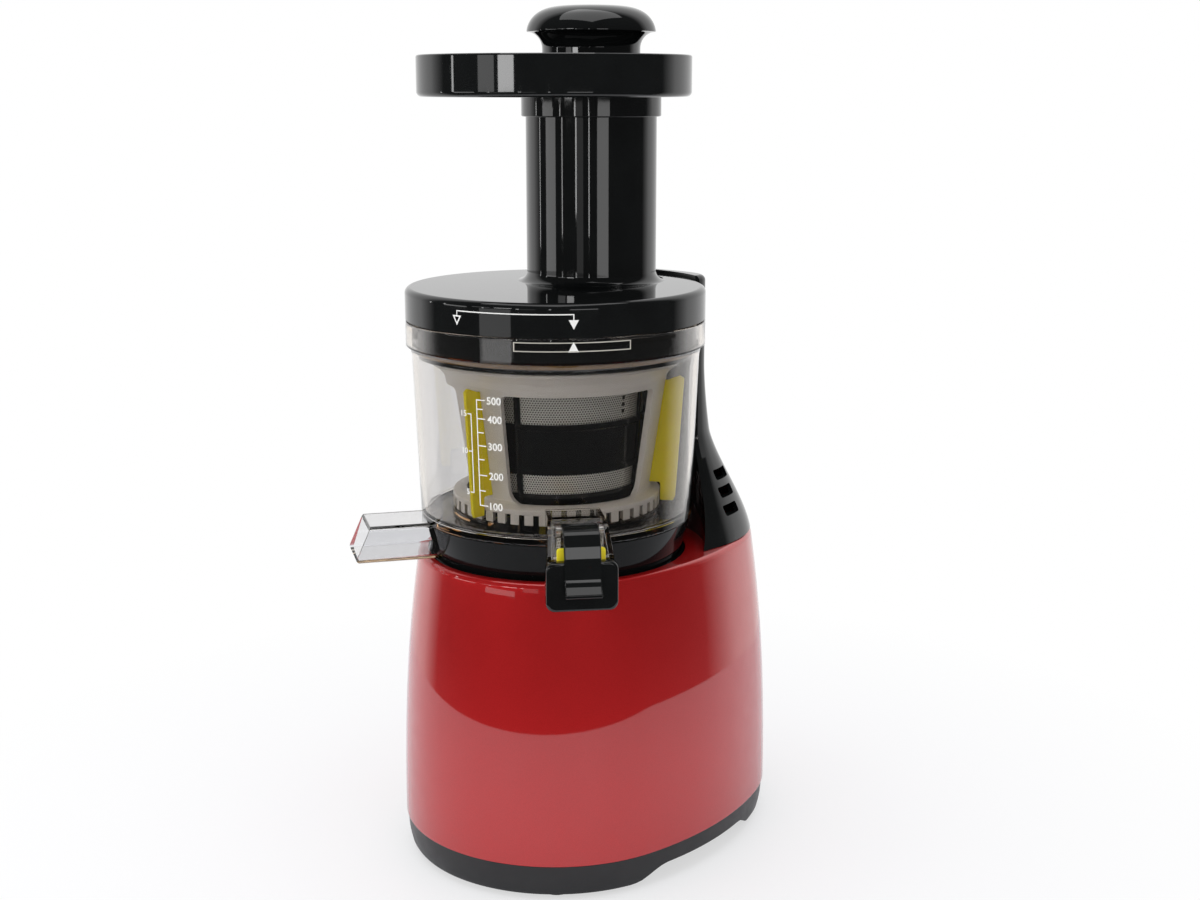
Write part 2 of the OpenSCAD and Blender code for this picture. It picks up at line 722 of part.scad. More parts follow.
module drive_shaft() {
    color(STEEL) on_axis() {
        translate([0, 0, case_z + 1.5]) cylinder(r = shaft_r - 1.5, h = slow_z - case_z - 1.5);
        translate([0, 0, slow_z]) cylinder(r = shaft_r - 0.5, h = gear_w + 1.5);
        translate([0, 0, slow_z + gear_w + 0.5]) cylinder(r = shaft_r, h = dock_z + 3.5 - slow_z - gear_w - 0.5);
        intersection() {
            translate([0, 0, dock_z]) rotate([0, 0, 30])
                cylinder(r = hex_af / 2 / cos(30), h = shaft_top_z - dock_z, $fn = 6);
            translate([0, 0, dock_z]) rotate_extrude()
                polygon([[0, 0], [9, 0], [9, shaft_top_z - dock_z - 4], [4, shaft_top_z - dock_z], [0, shaft_top_z - dock_z]]);
        }
    }
}

module on_motor() {
    translate([0, axis_y + motor_y, 0]) children();
}

bolt_r = stator_half * sqrt(2) - 8;
rotor_r = 21;

module motor_core() {
    color(STEEL) on_motor() translate([0, 0, motor_z]) difference() {
        round_box(2 * stator_half, 2 * stator_half, stator_h, 5);
        translate([0, 0, -1]) cylinder(r = rotor_r + 0.5, h = stator_h + 2);
        for (a = [0:30:330]) rotate([0, 0, a]) translate([rotor_r + 2, -2.2, -1]) cube([9, 4.4, stator_h + 2]);
        for (a = [45:90:315]) rotate([0, 0, a])
            translate([bolt_r, 0, -1]) cylinder(r = 1.9, h = stator_h + 2, $fn = 24);
    }
}

module motor_windings() {
    color(COPPER) on_motor() for (z = [motor_z - winding_h + 1, motor_z + stator_h + free_gap])
        translate([0, 0, z]) difference() {
            cylinder(r = rotor_r + 13, h = winding_h - 1 - free_gap);
            translate([0, 0, -1]) cylinder(r = rotor_r + 2, h = winding_h + 2);
        }
}

lower_bracket_z = motor_z - winding_h - bracket_t;
upper_bracket_z = motor_z + stator_h + winding_h;

module motor_brackets() {
    color(GREY) on_motor() {
        for (z = [lower_bracket_z, upper_bracket_z]) difference() {
            union() {
                translate([0, 0, z]) round_box(2 * stator_half, 26, bracket_t, 3);
                translate([0, 0, z]) round_box(26, 2 * stator_half, bracket_t, 3);
                translate([0, 0, z]) cylinder(r = 36, h = bracket_t);
                for (a = [45:90:315]) rotate([0, 0, a])
                    translate([bolt_r - 14, -5, z]) cube([18, 10, bracket_t]);
                translate([0, 0, z == lower_bracket_z ? z : z + bracket_t - bearing_h - 2])
                    cylinder(r = bearing_r + 3, h = bearing_h + 2);
            }
            translate([0, 0, z - 20]) cylinder(r = motor_shaft_r + 2, h = 40);
            translate([0, 0, z == lower_bracket_z ? z + 2 : z + bracket_t - bearing_h - 2 - 1])
                cylinder(r = bearing_r, h = bearing_h + 1);
            for (a = [45:90:315]) rotate([0, 0, a])
                translate([bolt_r, 0, z - 1]) cylinder(r = 1.9, h = 10, $fn = 24);
        }
    }
}

module motor_bearings() {
    color(STEEL) on_motor() {
        ring(motor_shaft_r + run_gap, bearing_r - run_gap, lower_bracket_z + 2, lower_bracket_z + 2 + bearing_h);
        ring(motor_shaft_r + run_gap, bearing_r - run_gap,
            upper_bracket_z + bracket_t - bearing_h - 2, upper_bracket_z + bracket_t - 2);
    }
}

module motor_bolts() {
    bottom = lower_bracket_z - 2.4;
    color(STEEL) on_motor() for (a = [45:90:315]) rotate([0, 0, a])
        translate([bolt_r, 0, bottom]) screw(1.75, case_z + 2.5 - bottom - 2.4, 3.4, 2.4);
}

module motor_rotor() {
    color(GREY) on_motor() {
        translate([0, 0, fan_z - 2]) cylinder(r = motor_shaft_r, h = pinion_top_z + 1.5 - fan_z + 2);
        difference() {
            translate([0, 0, motor_z]) cylinder(r = rotor_r, h = stator_h);
            translate([0, 0, motor_z - 1]) cylinder(r = motor_shaft_r - eps, h = stator_h + 2);
        }
        for (z = [motor_z - 4, motor_z + stator_h - eps]) ring(12, rotor_r - 2, z, z + 4 + eps);
    }
}

module cooling_fan() {
    color(BLACK) on_motor() difference() {
        union() {
            translate([0, 0, fan_z]) cylinder(r = 9, h = 11);
            translate([0, 0, fan_z + 9.5]) cylinder(r = 36, h = 1.5);
            for (a = [0:45:315]) rotate([0, 0, a]) translate([7, -0.8, fan_z]) cube([28, 1.6, 10.5]);
        }
        translate([0, 0, fan_z - 1]) cylinder(r = motor_shaft_r + eps, h = 20);
    }
}

module motor_pinion() {
    color(STEEL) on_motor() difference() {
        translate([0, 0, fast_z]) linear_extrude(gear_w) rotate([0, 0, 90])
            gear_outline(pinion_teeth, fast_module, gear_add * fast_module, gear_ded * fast_module, gear_back);
        translate([0, 0, fast_z - 1]) cylinder(r = motor_shaft_r + eps, h = 20);
    }
}

// ---------- electrics ----------

// Control board: width, thickness and height, and the places of the posts behind it
board = [60, 1.6, 36];
board_z = 60;
board_y = rear_y + base_r - 16.65;
board_post_x = board[0] / 2 - 6;
board_posts_z = [board_z + 6, board_z + board[2] - 6];

module control_board() {
    color(GREEN) {
        translate([-board[0] / 2, board_y, board_z]) cube(board);
        translate([-22, board_y - 12, board_z + 4]) cube([20, 12, 14]);
        translate([6, board_y - 9, board_z + 6]) cube([16, 9, 20]);
        for (z = [board_z + 2, board_z + board[2] - 4], s = [-1, 1])
            translate([s * (board[0] / 2 - 3) - 1.5, board_y - 3, z]) cube([3, 3, 2]);
    }
}

module run_capacitor() {
    color(GREY) translate([0, rear_y + base_r - 38.4, tray_floor_z + tray_floor_t]) cylinder(r = 13, h = 36);
}

module cord_gland() {
    color(BLACK) translate([0, 0, gland_z]) rotate([-90, 0, 0]) difference() {
        union() {
            translate([0, 0, rear_wall_y(gland_z) - 8]) cylinder(r = gland_r, h = 9);
            translate([0, 0, rear_wall_y(gland_z) + 0.2]) cylinder(r = gland_r + 1.5, h = 1.6);
            translate([0, 0, rear_wall_y(gland_z) + 1]) cylinder(r1 = gland_r - 0.3, r2 = gland_r - 1.6, h = 9);
            translate([0, 0, rear_wall_y(gland_z) - 8]) cylinder(r = gland_r + 1.5, h = 3);
        }
        translate([0, 0, rear_wall_y(gland_z) - 10]) cylinder(r = 3.6, h = 20);
    }
}

bezel_wall = 1.5;

module switch_bezel() {
    y = rear_wall_y(switch_z);
    color(BLACK) translate([0, 0, switch_z]) rotate([-90, 0, 0]) difference() {
        union() {
            translate([0, 0, y - 16]) linear_extrude(16 + switch_seat + 0.5)
                square([switch_size[0] - 2 * free_gap, switch_size[1] - 2 * free_gap], center = true);
            translate([0, 0, y + switch_seat]) round_box(switch_size[0] + 4, switch_size[1] + 4, 1.5, 2);
        }
        translate([0, 0, y - 12]) linear_extrude(20)
            square([switch_size[0] - 4 * bezel_wall, switch_size[1] - 4 * bezel_wall], center = true);
        translate([-20, 0, y - 3]) rotate([0, 90, 0]) cylinder(r = 1.5, h = 40);
    }
}

module power_rocker() {
    y = rear_wall_y(switch_z);
    w = switch_size[0] - 4 * bezel_wall - 2 * free_gap;
    h = switch_size[1] - 4 * bezel_wall - 3;
    color(BLACK) translate([0, y - 3, switch_z]) rotate([0, 90, 0]) {
        intersection() {
            linear_extrude(w, center = true) polygon([
                [-h / 2, -4], [h / 2, -4], [h / 2, 5.4], [h / 4, 4.5], [0, 4.2], [-h / 4, 4.5], [-h / 2, 5.4]
            ]);
            cylinder(r = 10.4, h = w + 1, center = true);
        }
        cylinder(r = 1.45, h = w + 2 * bezel_wall, center = true);
    }
}

// ---------- bowl set ----------

juice_a = juice_turn - 90;
pulp_a = -90 - pulp_turn;
hub_r = shaft_r + 1.6;
rim_in_r = lid_r - 2.5;
rim_foot_z = rim_z - rim_h;
auger_gear_r = auger_teeth * ring_module / 2;
idler_teeth = (ring_teeth - auger_teeth) / 2;
idler_r = idler_teeth * ring_module / 2;
idler_x = auger_gear_r + idler_r;
idler_a = 60;
idler_pin_r = 2.5;
bowl_gear_back = 0.3;
duct_x0 = 21;
duct_x1 = 44;
duct_w = 26;
pulp_top = 1.5;
pulp_low = 19.8;
floor_t = 3;

// Turns its children about the bowl's axis, so that +X points along angle a
module toward(a) {
    on_axis() rotate([0, 0, a]) children();
}

// Side view of the pulp duct: straight out under the floor, inset by t
module pulp_side(t, out) {
    r = pulp_reach + out;
    low = floor_z - pulp_low + t;
    side_slab([
        [duct_x0 + t, low], [r - 1.5, low], [r, low + 1.5 * (out == 0 ? 1 : 0)],
        [r - 7.5, floor_z - pulp_top - t], [duct_x0 + t, floor_z - pulp_top - t]
    ], pulp_w - 2 * t);
}

juice_top = 15;
juice_foot = 22.5;

// Juice spout in side view, inset by t, its mouth lengthened by out
module juice_side(t, out) {
    r = juice_reach + out;
    side_slab([
        [bowl_foot_r + t, floor_z - juice_top], [73.5 + t, floor_z - 20.5 + t], [78, floor_z - juice_foot + t],
        [r, floor_z - juice_foot + t], [r, floor_z - t], [juice_reach - (t > 0 ? t : 0), floor_z - t],
        [juice_reach - 10.5 - t, floor_z + 12 - t], [juice_reach - 16.5, floor_z + juice_top - 0.5 - t],
        [bowl_foot_r - 3.5, floor_z + juice_top - t], [bowl_foot_r - 3.5, floor_z + (t > 0 ? 0 : -1)],
        [bowl_foot_r + t, floor_z + (t > 0 ? 0 : -1)]
    ], 60);
}

// Juice spout in plan: it widens towards its mouth
module juice_plan(t) {
    a = juice_w / 2 - t;
    translate([0, 0, floor_z - 40]) linear_extrude(80) polygon([
        [bowl_foot_r - 5, -a + 2.6], [80, -a + 2], [juice_reach + 20, -a - 2.4], [juice_reach + 20, a + 2.4],
        [80, a - 2], [bowl_foot_r - 5, a - 2.6]
    ]);
}

module juice_form(t, out) {
    intersection() {
        juice_side(t, out);
        juice_plan(t);
    }
}

pivot = [juice_reach - 5.3, floor_z + 11.3];
pin_r = 1.3;
barrel_r = 2.8;

module cap_ears() {
    for (s = [-1, 1])
        translate([0, s * (lever_w / 2 + free_gap + 1.1), 0]) rotate([90, 0, 0])
            linear_extrude(2.2, center = true) {
                translate(pivot) circle(r = 3.2, $fn = 32);
                polygon([
                    [pivot[0] - 8, pivot[1] - 2.5], [pivot[0] + 2, pivot[1] - 10], [pivot[0] + 3, pivot[1] - 1.1],
                    [pivot[0] - 1.1, pivot[1] + 3], [pivot[0] - 7, pivot[1] + 1.5]
                ]);
            }
}

strainer_posts = [-15, 165];

module juice_bowl() {
    color(CLEAR) difference() {
        union() {
            on_axis() {
                rotate_extrude() polygon(concat(
                    [[bowl_foot_r - bowl_wall, floor_z], [hub_r, floor_z], [hub_r, floor_z - floor_t],
                        [bowl_foot_r - 1, floor_z - floor_t], [bowl_foot_r, floor_z - floor_t + 1],
                        [bowl_top_r, rim_foot_z - 2.5]],
                    [for (i = [1:5]) let (a = 90 * i / 5)
                        [bowl_top_r + (lid_r - bowl_top_r) * (1 - cos(a)), rim_foot_z - 2.5 + 8 * sin(a)]],
                    [[lid_r, rim_z], [rim_in_r, rim_z], [rim_in_r, rim_foot_z + 6]],
                    [for (i = [1:5]) let (a = 90 * i / 5)
                        [bowl_top_r - bowl_wall + (rim_in_r - bowl_top_r + bowl_wall) * (1 - sin(a)), rim_foot_z - 1.5 + 7.5 * cos(a)]]
                ));
                ring(hub_r, hub_r + 3, floor_z - 18, gear_z - free_gap);
                for (k = [0:2]) rotate([0, 0, idler_a + 30 + k * 120])
                    rotate_extrude(angle = 60) translate([brush_r - 4.4, floor_z - 1])
                        square([5, gear_z - free_gap - floor_z + 1]);
                for (a = strainer_posts) rotate([0, 0, a])
                    translate([36, 0, floor_z - 1]) cylinder(r = 4, h = plate_z - floor_z + 1);
                rotate([0, 0, idler_a]) translate([idler_x, 0, floor_z - 5]) cylinder(r = 6, h = gear_z - free_gap - floor_z + 5);
                for (k = [0:2]) rotate([0, 0, 90 + k * 120])
                    rotate_extrude(angle = 30) translate([rim_in_r - 1.3, rim_z - 3.5]) square([1.8, 2]);
            }
            toward(pulp_a) {
                pulp_side(0, 0);
                translate([duct_x0, -duct_w / 2, floor_z - 5])
                    cube([duct_x1 - duct_x0, duct_w, plate_z - free_gap - floor_z + 5]);
            }
            toward(juice_a) {
                juice_form(0, 0);
                cap_ears();
            }
        }
        toward(pulp_a) {
            pulp_side(spout_wall, 5);
            translate([duct_x0 + 2, -duct_w / 2 + 2, floor_z - 15])
                cube([duct_x1 - duct_x0 - 4, duct_w - 4, plate_z - floor_z + 20]);
            translate([32, 0, floor_z - pulp_low - 1]) cylinder(r = stopper_r, h = 5);
        }
        toward(juice_a) {
            juice_form(spout_wall, 5);
            translate([pivot[0], 0, pivot[1]]) rotate([90, 0, 0])
                cylinder(r = pin_r + run_gap, h = 60, center = true, $fn = 32);
        }
        toward(idler_a) translate([idler_x, 0, floor_z - 4]) cylinder(r = idler_pin_r + run_gap, h = 20);
    }
}

stopper_r = 8;

module pulp_stopper() {
    color(YELLOW) toward(pulp_a) translate([32, 0, 0]) {
        translate([0, 0, floor_z - pulp_low - 0.6]) cylinder(r = stopper_r - run_gap, h = 2.3);
        translate([0, 0, floor_z - pulp_low - 2]) cylinder(r = stopper_r + 2, h = 1.7);
        translate([-3, 0, floor_z - pulp_low - 2]) cube([6, stopper_r + 7, 1.7]);
    }
}

// Black foot of the bowl that stands in the dock
module bowl_base() {
    t = 2.5;
    top = floor_z - floor_t;
    out = [[68.2, top], [66.6, deck_z + 10.8], [65, deck_z + 4], [62.7, deck_z - 2.4], [59.6, dock_z + 1.2],
        [58.4, dock_z + free_gap]];
    color(BLACK) difference() {
        on_axis() rotate_extrude() polygon(concat(
            out, [[50, dock_z + free_gap], [50, dock_z + 2.5]],
            [for (i = [4:-1:1]) [out[i][0] - t, out[i][1] + (i == 4 ? 1.3 : 0)]],
            [[65.7, top - 3.5], [60, top - 2], [60, top]]
        ));
        toward(pulp_a) translate([45, -pulp_w / 2 - free_gap, floor_z - pulp_low - free_gap])
            cube([40, pulp_w + 2 * free_gap, 30]);
    }
}

module bowl_seal() {
    color(YELLOW) on_axis() ring(shaft_r + free_gap, hub_r - run_gap, floor_z - 17, floor_z - 10);
}

module idler_pin() {
    color(STEEL) toward(idler_a) translate([idler_x, 0, floor_z - 4]) cylinder(r = idler_pin_r, h = plate_z - floor_z + 3);
}

module idler_gear() {
    color(CREAM) toward(idler_a) translate([idler_x, 0, gear_z]) difference() {
        linear_extrude(gear_h) rotate([0, 0, 180 + 180 / idler_teeth])
            gear_outline(idler_teeth, ring_module, 0.9 * ring_module, 2.3, bowl_gear_back);
        translate([0, 0, -1]) cylinder(r = idler_pin_r + run_gap, h = 10);
        for (a = [0:60:300]) rotate([0, 0, a]) translate([9, 0, -1]) cylinder(r = 3, h = 10, $fn = 32);
    }
}

// ---------- press ----------

mesh_t = 0.8;

// Inner radius of the strainer at height z
function mesh_r(z) = lerp(strainer_foot_r, strainer_top_r, (z - mesh_z) / (mesh_top_z - mesh_z));

band_low = 14;
band_high = 39;

module strainer_frame() {
    out = mesh_t + run_gap;
    color(BLACK) on_axis() difference() {
        union() {
            rotate_extrude() polygon([
                [strainer_top_r + out, mesh_top_z - 0.5], [strainer_top_r + 3, mesh_top_z - 0.5],
                [strainer_top_r + 3, ring_top_z - 2.3], [rim_in_r - 3.7, ring_top_z - 2.3],
                [rim_in_r - 3.7, ring_top_z], [strainer_top_r + out, ring_top_z]
            ]);
            rotate_extrude() polygon([
                [plate_hole_r, plate_z], [strainer_foot_r + 1, plate_z], [strainer_foot_r + 2.2, mesh_z + 4],
                [mesh_r(mesh_z + 4) + out, mesh_z + 4], [strainer_foot_r + out, mesh_z], [plate_hole_r, mesh_z]
            ]);
            rotate_extrude() polygon(concat(
                [for (p = [[band_low, 1.6], [band_low + 2.5, 1.6], [band_low + 3.5, 0.9], [band_high - 3.5, 0.9],
                    [band_high - 2.5, 1.8], [band_high, 1.6]])
                    [mesh_r(mesh_z + p[0]) + out + p[1], mesh_z + p[0]]],
                [for (h = [band_high, band_low]) [mesh_r(mesh_z + h) + out, mesh_z + h]]
            ));
            for (k = [0:3]) rotate([0, 0, 15 + 90 * k]) side_slab([
                [strainer_foot_r + out, mesh_z], [strainer_foot_r + out + 1.3, mesh_z],
                [strainer_top_r + out + 1.3, mesh_top_z], [strainer_top_r + out, mesh_top_z]
            ], 3);
        }
        rotate([0, 0, pulp_a]) translate([duct_x0 + 2, -duct_w / 2 + 2, plate_z - 1])
            cube([min(duct_x1 - duct_x0 - 6, strainer_foot_r - duct_x0 - 4), duct_w - 4, 6]);
    }
}

plate_hole_r = auger_gear_r + 0.9 * ring_module + 0.8;

module strainer_mesh() {
    color(STEEL) on_axis() rotate_extrude() polygon([
        [strainer_foot_r, mesh_z + free_gap / 2], [strainer_foot_r + mesh_t, mesh_z + free_gap / 2],
        [strainer_top_r + mesh_t, mesh_top_z + 6], [strainer_top_r, mesh_top_z + 6]
    ]);
}

ribs = [for (k = [0:2]) -95.5 + 120 * k];
blade_t = 1.9;
blade_shift = 3.5;
brush_top_z = ring_top_z - 3.4;
brush_neck_z = brush_top_z - 9.4;
ring_t = 2.6;
cone_foot_r = 47.6;
cone_top_r = 56;
cone_t = 2.7;
brush_foot_in_r = 46.6;

module brush_frame() {
    low = gear_z + gear_h;
    color(CREAM) on_axis() difference() {
        union() {
            rotate_extrude() polygon([
                [brush_r, low], [brush_r, low + ring_t], [cone_foot_r + 0.8, low + 4], [cone_foot_r, low + 5],
                [cone_top_r, brush_neck_z], [cone_top_r + 1.6, brush_neck_z + 3.4],
                [brush_top_r - 2, brush_top_z - 3.2], [brush_top_r, brush_top_z - 1.8],
                [brush_top_r, brush_top_z], [brush_top_r - 1.6, brush_top_z], [cone_top_r - 0.6, brush_neck_z + 4.8],
                [cone_top_r - cone_t, brush_neck_z + 1], [cone_foot_r - cone_t, low + 5],
                [brush_foot_in_r, low + 2.4], [brush_foot_in_r, low]
            ]);
            translate([0, 0, gear_z]) linear_extrude(gear_h + eps) difference() {
                circle(r = brush_r);
                rotate([0, 0, idler_a + 180 / ring_teeth])
                    gear_outline(ring_teeth, ring_module, 2.6, 1.9, -0.8);
            }
        }
        for (a = ribs) rotate([0, 0, a + rib_angle / 2])
            rotate_extrude(angle = 120 - rib_angle)
                polygon([[40, low + 3.8], [64, low + 3.8], [64, brush_neck_z - 3], [40, brush_neck_z - 3]]);
        for (a = ribs) rotate([0, 0, a + blade_shift])
            translate([42, -blade_t / 2 - run_gap, low + 7]) cube([20, blade_t + 2 * run_gap, brush_neck_z - low - 9]);
    }
}

module wiper_blades() {
    low = gear_z + gear_h;
    foot = 61;
    tip = 65;
    color(YELLOW) on_axis() for (a = ribs) rotate([0, 0, a + blade_shift]) side_slab([
        [cone_foot_r - cone_t, low + 7.1], [brush_r + 0.6, low + 7.1], [brush_r + 0.6, low - 2.4], [foot - 1, low - 2.4],
        [foot, low], [tip, brush_neck_z - 1], [tip - 2, brush_neck_z + 0.4], [cone_top_r + 0.6, brush_neck_z - 2.1],
        [cone_top_r - cone_t - 0.9, brush_neck_z - 2.1]
    ], blade_t);
}

screw_foot_z = mesh_z + 3.2;
screw_top_z = ring_top_z + 1;
pin_top_z = lid_z - 6;

module auger_hub() {
    color(BLACK) on_axis() difference() {
        union() {
            translate([0, 0, gear_z]) linear_extrude(gear_h) rotate([0, 0, idler_a])
                gear_outline(auger_teeth, ring_module, 0.9 * ring_module, 2.3, bowl_gear_back);
            translate([0, 0, gear_z + gear_h - eps]) cylinder(r = 13.5, h = mesh_z + free_gap - gear_z - gear_h + 2 * eps);
            translate([0, 0, mesh_z + free_gap]) cylinder(r = 24, h = screw_foot_z - mesh_z - free_gap);
            translate([0, 0, screw_foot_z - eps]) cylinder(r = 11, h = shaft_top_z + 1.5 - screw_foot_z);
        }
        translate([0, 0, gear_z - 1]) rotate([0, 0, 30])
            cylinder(r = (hex_af / 2 + 0.15) / cos(30), h = shaft_top_z + 1 - gear_z + 0.4, $fn = 6);
    }
}

module auger_seal() {
    color(YELLOW) on_axis() ring(24 + run_gap, 27, mesh_z + free_gap, screw_foot_z - 0.1);
}

// Radius of the screw at height z and angle a: a core that thins upwards, and one thread
function thread_r(z) = mesh_r(min(z, mesh_top_z)) - screw_gap - max(0, z - mesh_top_z + 6) * 0.9;
function core_r(z) = let (t = (z - screw_foot_z) / (screw_top_z - screw_foot_z)) lerp(33, 15, pow(t, 0.85));
function ridge(a) = pow(max(0, cos(a)), 10);
function screw_r_at(z, a) = let (turn = 360 * (z - screw_foot_z) / screw_pitch)
    core_r(z) + max(0, thread_r(z) - core_r(z)) * ridge(a - turn);

screw_sides = 60;
screw_rows = 34;

module auger_screw() {
    heights = [for (i = [0:screw_rows]) lerp(screw_foot_z, screw_top_z, i / screw_rows)];
    color(BLACK) on_axis() {
        difference() {
            skin([for (z = heights) [for (i = [0:screw_sides - 1]) let (a = 360 * i / screw_sides)
                polar(screw_r_at(z, a), a)]], heights);
            translate([0, 0, screw_foot_z - 1]) cylinder(r = 11 + run_gap, h = shaft_top_z + 2 - screw_foot_z + 1);
        }
        translate([0, 0, screw_top_z - 1]) cylinder(r = bush_r, h = pin_top_z - screw_top_z + 1);
    }
}

// ---------- juice cap ----------

cap_x = juice_reach + free_gap;
cap_h = 23.5;
cap_low = floor_z - 24.5;

module juice_cap() {
    x = pivot[0];
    z = pivot[1];
    color(BLACK) toward(juice_a) difference() {
        union() {
            translate([cap_x + 6.6, 0, cap_low + cap_h / 2]) rotate([0, -90, 0])
                round_box(cap_h, cap_w, 6.6, 4);
            side_slab([
                [x, z + barrel_r], [x + 5, z + 2.7], [x + 9.3, z + 0.4], [x + 11.9, z - 4.2], [x + 13.4, z - 10.2],
                [x + 14.3, z - 20], [x + 15, z - 22.4], [x + 18.6, z - 26], [x + 18.6, z - 27.9],
                [x + 14, z - 26.6], [x + 11.8, z - 23.4], [x + 11, z - 10.8], [x + 9.2, z - 5.2], [x + 6.8, z - 1.8],
                [x + 3.4, z - 0.4], [x, z - barrel_r]
            ], lever_w);
            translate([x, 0, z]) rotate([90, 0, 0]) cylinder(r = barrel_r, h = lever_w, center = true, $fn = 48);
        }
        translate([cap_x - 1, -14.5, cap_low + 4]) cube([3.8, 29, cap_h]);
        translate([x, 0, z]) rotate([90, 0, 0]) cylinder(r = pin_r + run_gap, h = 60, center = true, $fn = 48);
    }
}

module cap_seal() {
    color(YELLOW) toward(juice_a) {
        translate([cap_x + 0.1, -14.3, cap_low + 4.2]) cube([2.5, 28.6, 18.6]);
        translate([cap_x + 0.3, -11.3, cap_low + 22]) cube([1.8, 22.6, 7]);
        translate([juice_reach - 1.4, -13, cap_low + 4.6]) cube([2.6, 26, 17]);
    }
}

module cap_pin() {
    color(STEEL) toward(juice_a) translate([pivot[0], 0, pivot[1]]) rotate([90, 0, 0])
        cylinder(r = pin_r, h = lever_w + 2 * free_gap + 4.2, center = true, $fn = 32);
}

// ---------- lid and chute ----------

roof_t = 3;
skirt_low = rim_z - 12;
skirt_r = rim_in_r - 1.6;
skirt_t = 2.6;
bush_r = 4;
bush_wall = 2;
feed_r = strainer_top_r - 1.4;

module on_tube() {
    translate([0, axis_y + tube_offset, 0]) children();
}

module lid() {
    bore = tube_r - tube_wall;
    low = lid_z - roof_t;
    color(BLACK) difference() {
        union() {
            on_axis() {
                rotate_extrude() polygon(concat(
                    [[0, lid_z], [0, low], [skirt_r - skirt_t - 3, low], [skirt_r - skirt_t, low - 3],
                        [skirt_r - skirt_t, skirt_low], [skirt_r, skirt_low], [skirt_r, rim_z + free_gap],
                        [lid_r, rim_z + free_gap]],
                    [for (i = [0:6]) let (a = 90 * i / 6)
                        [lid_r - lid_round + lid_round * cos(a), lid_z - lid_round + lid_round * sin(a)]]
                ));
                translate([0, 0, low - 14]) cylinder(r = bush_r + bush_wall + 2.8, h = 14 + eps);
                for (k = [0:2]) rotate([0, 0, 92 + k * 120])
                    rotate_extrude(angle = 26) translate([skirt_r - 0.5, rim_z - 7.5]) square([1.7, 3.5]);
            }
            on_tube() {
                translate([0, 0, lid_z - 1]) cylinder(r = tube_r, h = tube_z - lid_z + 1);
                rotate_extrude() polygon(concat(
                    [[tube_r - 1, lid_z - 1], [tube_r + tube_fillet, lid_z - 1]],
                    [for (i = [0:6]) let (a = 270 - 90 * i / 6)
                        [tube_r + tube_fillet + tube_fillet * cos(a), lid_z + tube_fillet + tube_fillet * sin(a)]],
                    [[tube_r - 1, lid_z + tube_fillet]]
                ));
            }
        }
        on_tube() translate([0, 0, lid_z]) cylinder(r = bore, h = tube_h + 1);
        difference() {
            intersection() {
                on_tube() translate([0, 0, low - 1]) cylinder(r = bore, h = roof_t + 2);
                on_axis() translate([0, 0, low - 1]) cylinder(r = feed_r, h = roof_t + 2);
            }
            on_axis() translate([0, 0, low - 2]) cylinder(r = bush_r + bush_wall + 2.8, h = roof_t + 4);
        }
        on_axis() {
            translate([0, 0, low - 15]) cylinder(r = bush_r + bush_wall + run_gap, h = 12);
            translate([0, skirt_r - skirt_t - 1, magnet_z]) rotate([-90, 0, 0]) cylinder(r = magnet_r + run_gap, h = 4.6, $fn = 48);
        }
    }
}

magnet_r = 4;
magnet_z = lid_z - 9;

module lid_bushing() {
    color(CREAM) on_axis() ring(bush_r + run_gap, bush_r + bush_wall, lid_z - roof_t - 14, lid_z - roof_t - 3.5);
}

module lid_gasket() {
    color(YELLOW) on_axis() ring(skirt_r - skirt_t - 1, skirt_r - 0.9, ring_top_z + free_gap, skirt_low);
}

module lid_magnet() {
    color(STEEL) on_axis() translate([0, skirt_r - skirt_t + 0.2, magnet_z]) rotate([-90, 0, 0])
        cylinder(r = magnet_r, h = 3.2, $fn = 48);
}

module hopper_tray() {
    low = tube_z + free_gap;
    floor_top = low + 2.4;
    r = 2.5;
    color(BLACK) difference() {
        union() {
            on_axis() rotate_extrude() polygon(concat(
                [[0, low]],
                [for (i = [0:5]) let (a = -90 + 90 * i / 5) [tray_r - r + r * cos(a), low + r + r * sin(a)]],
                [[tray_r, tray_z - 1], [tray_r - 0.6, tray_z], [tray_r - tray_wall + 0.6, tray_z],
                    [tray_r - tray_wall, tray_z - 0.6], [tray_r - tray_wall, floor_top + 2],
                    [tray_r - tray_wall - 2, floor_top], [0, floor_top]]
            ));
            on_tube() translate([0, 0, tube_z - collar_h])
                cylinder(r = tube_r + free_gap + 1.9, h = collar_h + free_gap + 1);
        }
        on_tube() translate([0, 0, tube_z - collar_h - 1]) cylinder(r = tube_r + free_gap, h = collar_h + 1 + free_gap);
        on_tube() translate([0, 0, tube_z - 1]) cylinder(r = tube_r - tube_wall, h = 20);
    }
}

pusher_gap = 0.5;
pusher_wall = 2.6;

module pusher() {
    r = tube_r - tube_wall - pusher_gap;
    low = lid_z + free_gap;
    neck = knob_r - 7.5;
    lip = tray_z + knob_rise;
    color(BLACK) on_tube() rotate_extrude() polygon(concat(
        [[0, low], [r - 1, low], [r, low + 1], [r, tray_z - 8], [r - 1, tray_z - 6], [neck, tray_z - 3],
            [neck, tray_z + knob_rise - 8]],
        [for (i = [1:5]) let (a = 90 * i / 5)
            [neck + (knob_r - neck) * (1 - cos(a)), lip - 8 + 8 * sin(a)]],
        [for (i = [1:8]) let (a = 90 * i / 8)
            [(knob_r + 0.2) * pow(cos(a), 0.45), lip + knob_dome * pow(sin(a), 1.15)]],
        [[0, lip + knob_dome - 3], [neck - pusher_wall, lip + 4], [neck - pusher_wall, tray_z - 3],
            [r - pusher_wall, tray_z - 10], [r - pusher_wall, low + 3], [0, low + 3]]
    ));
}

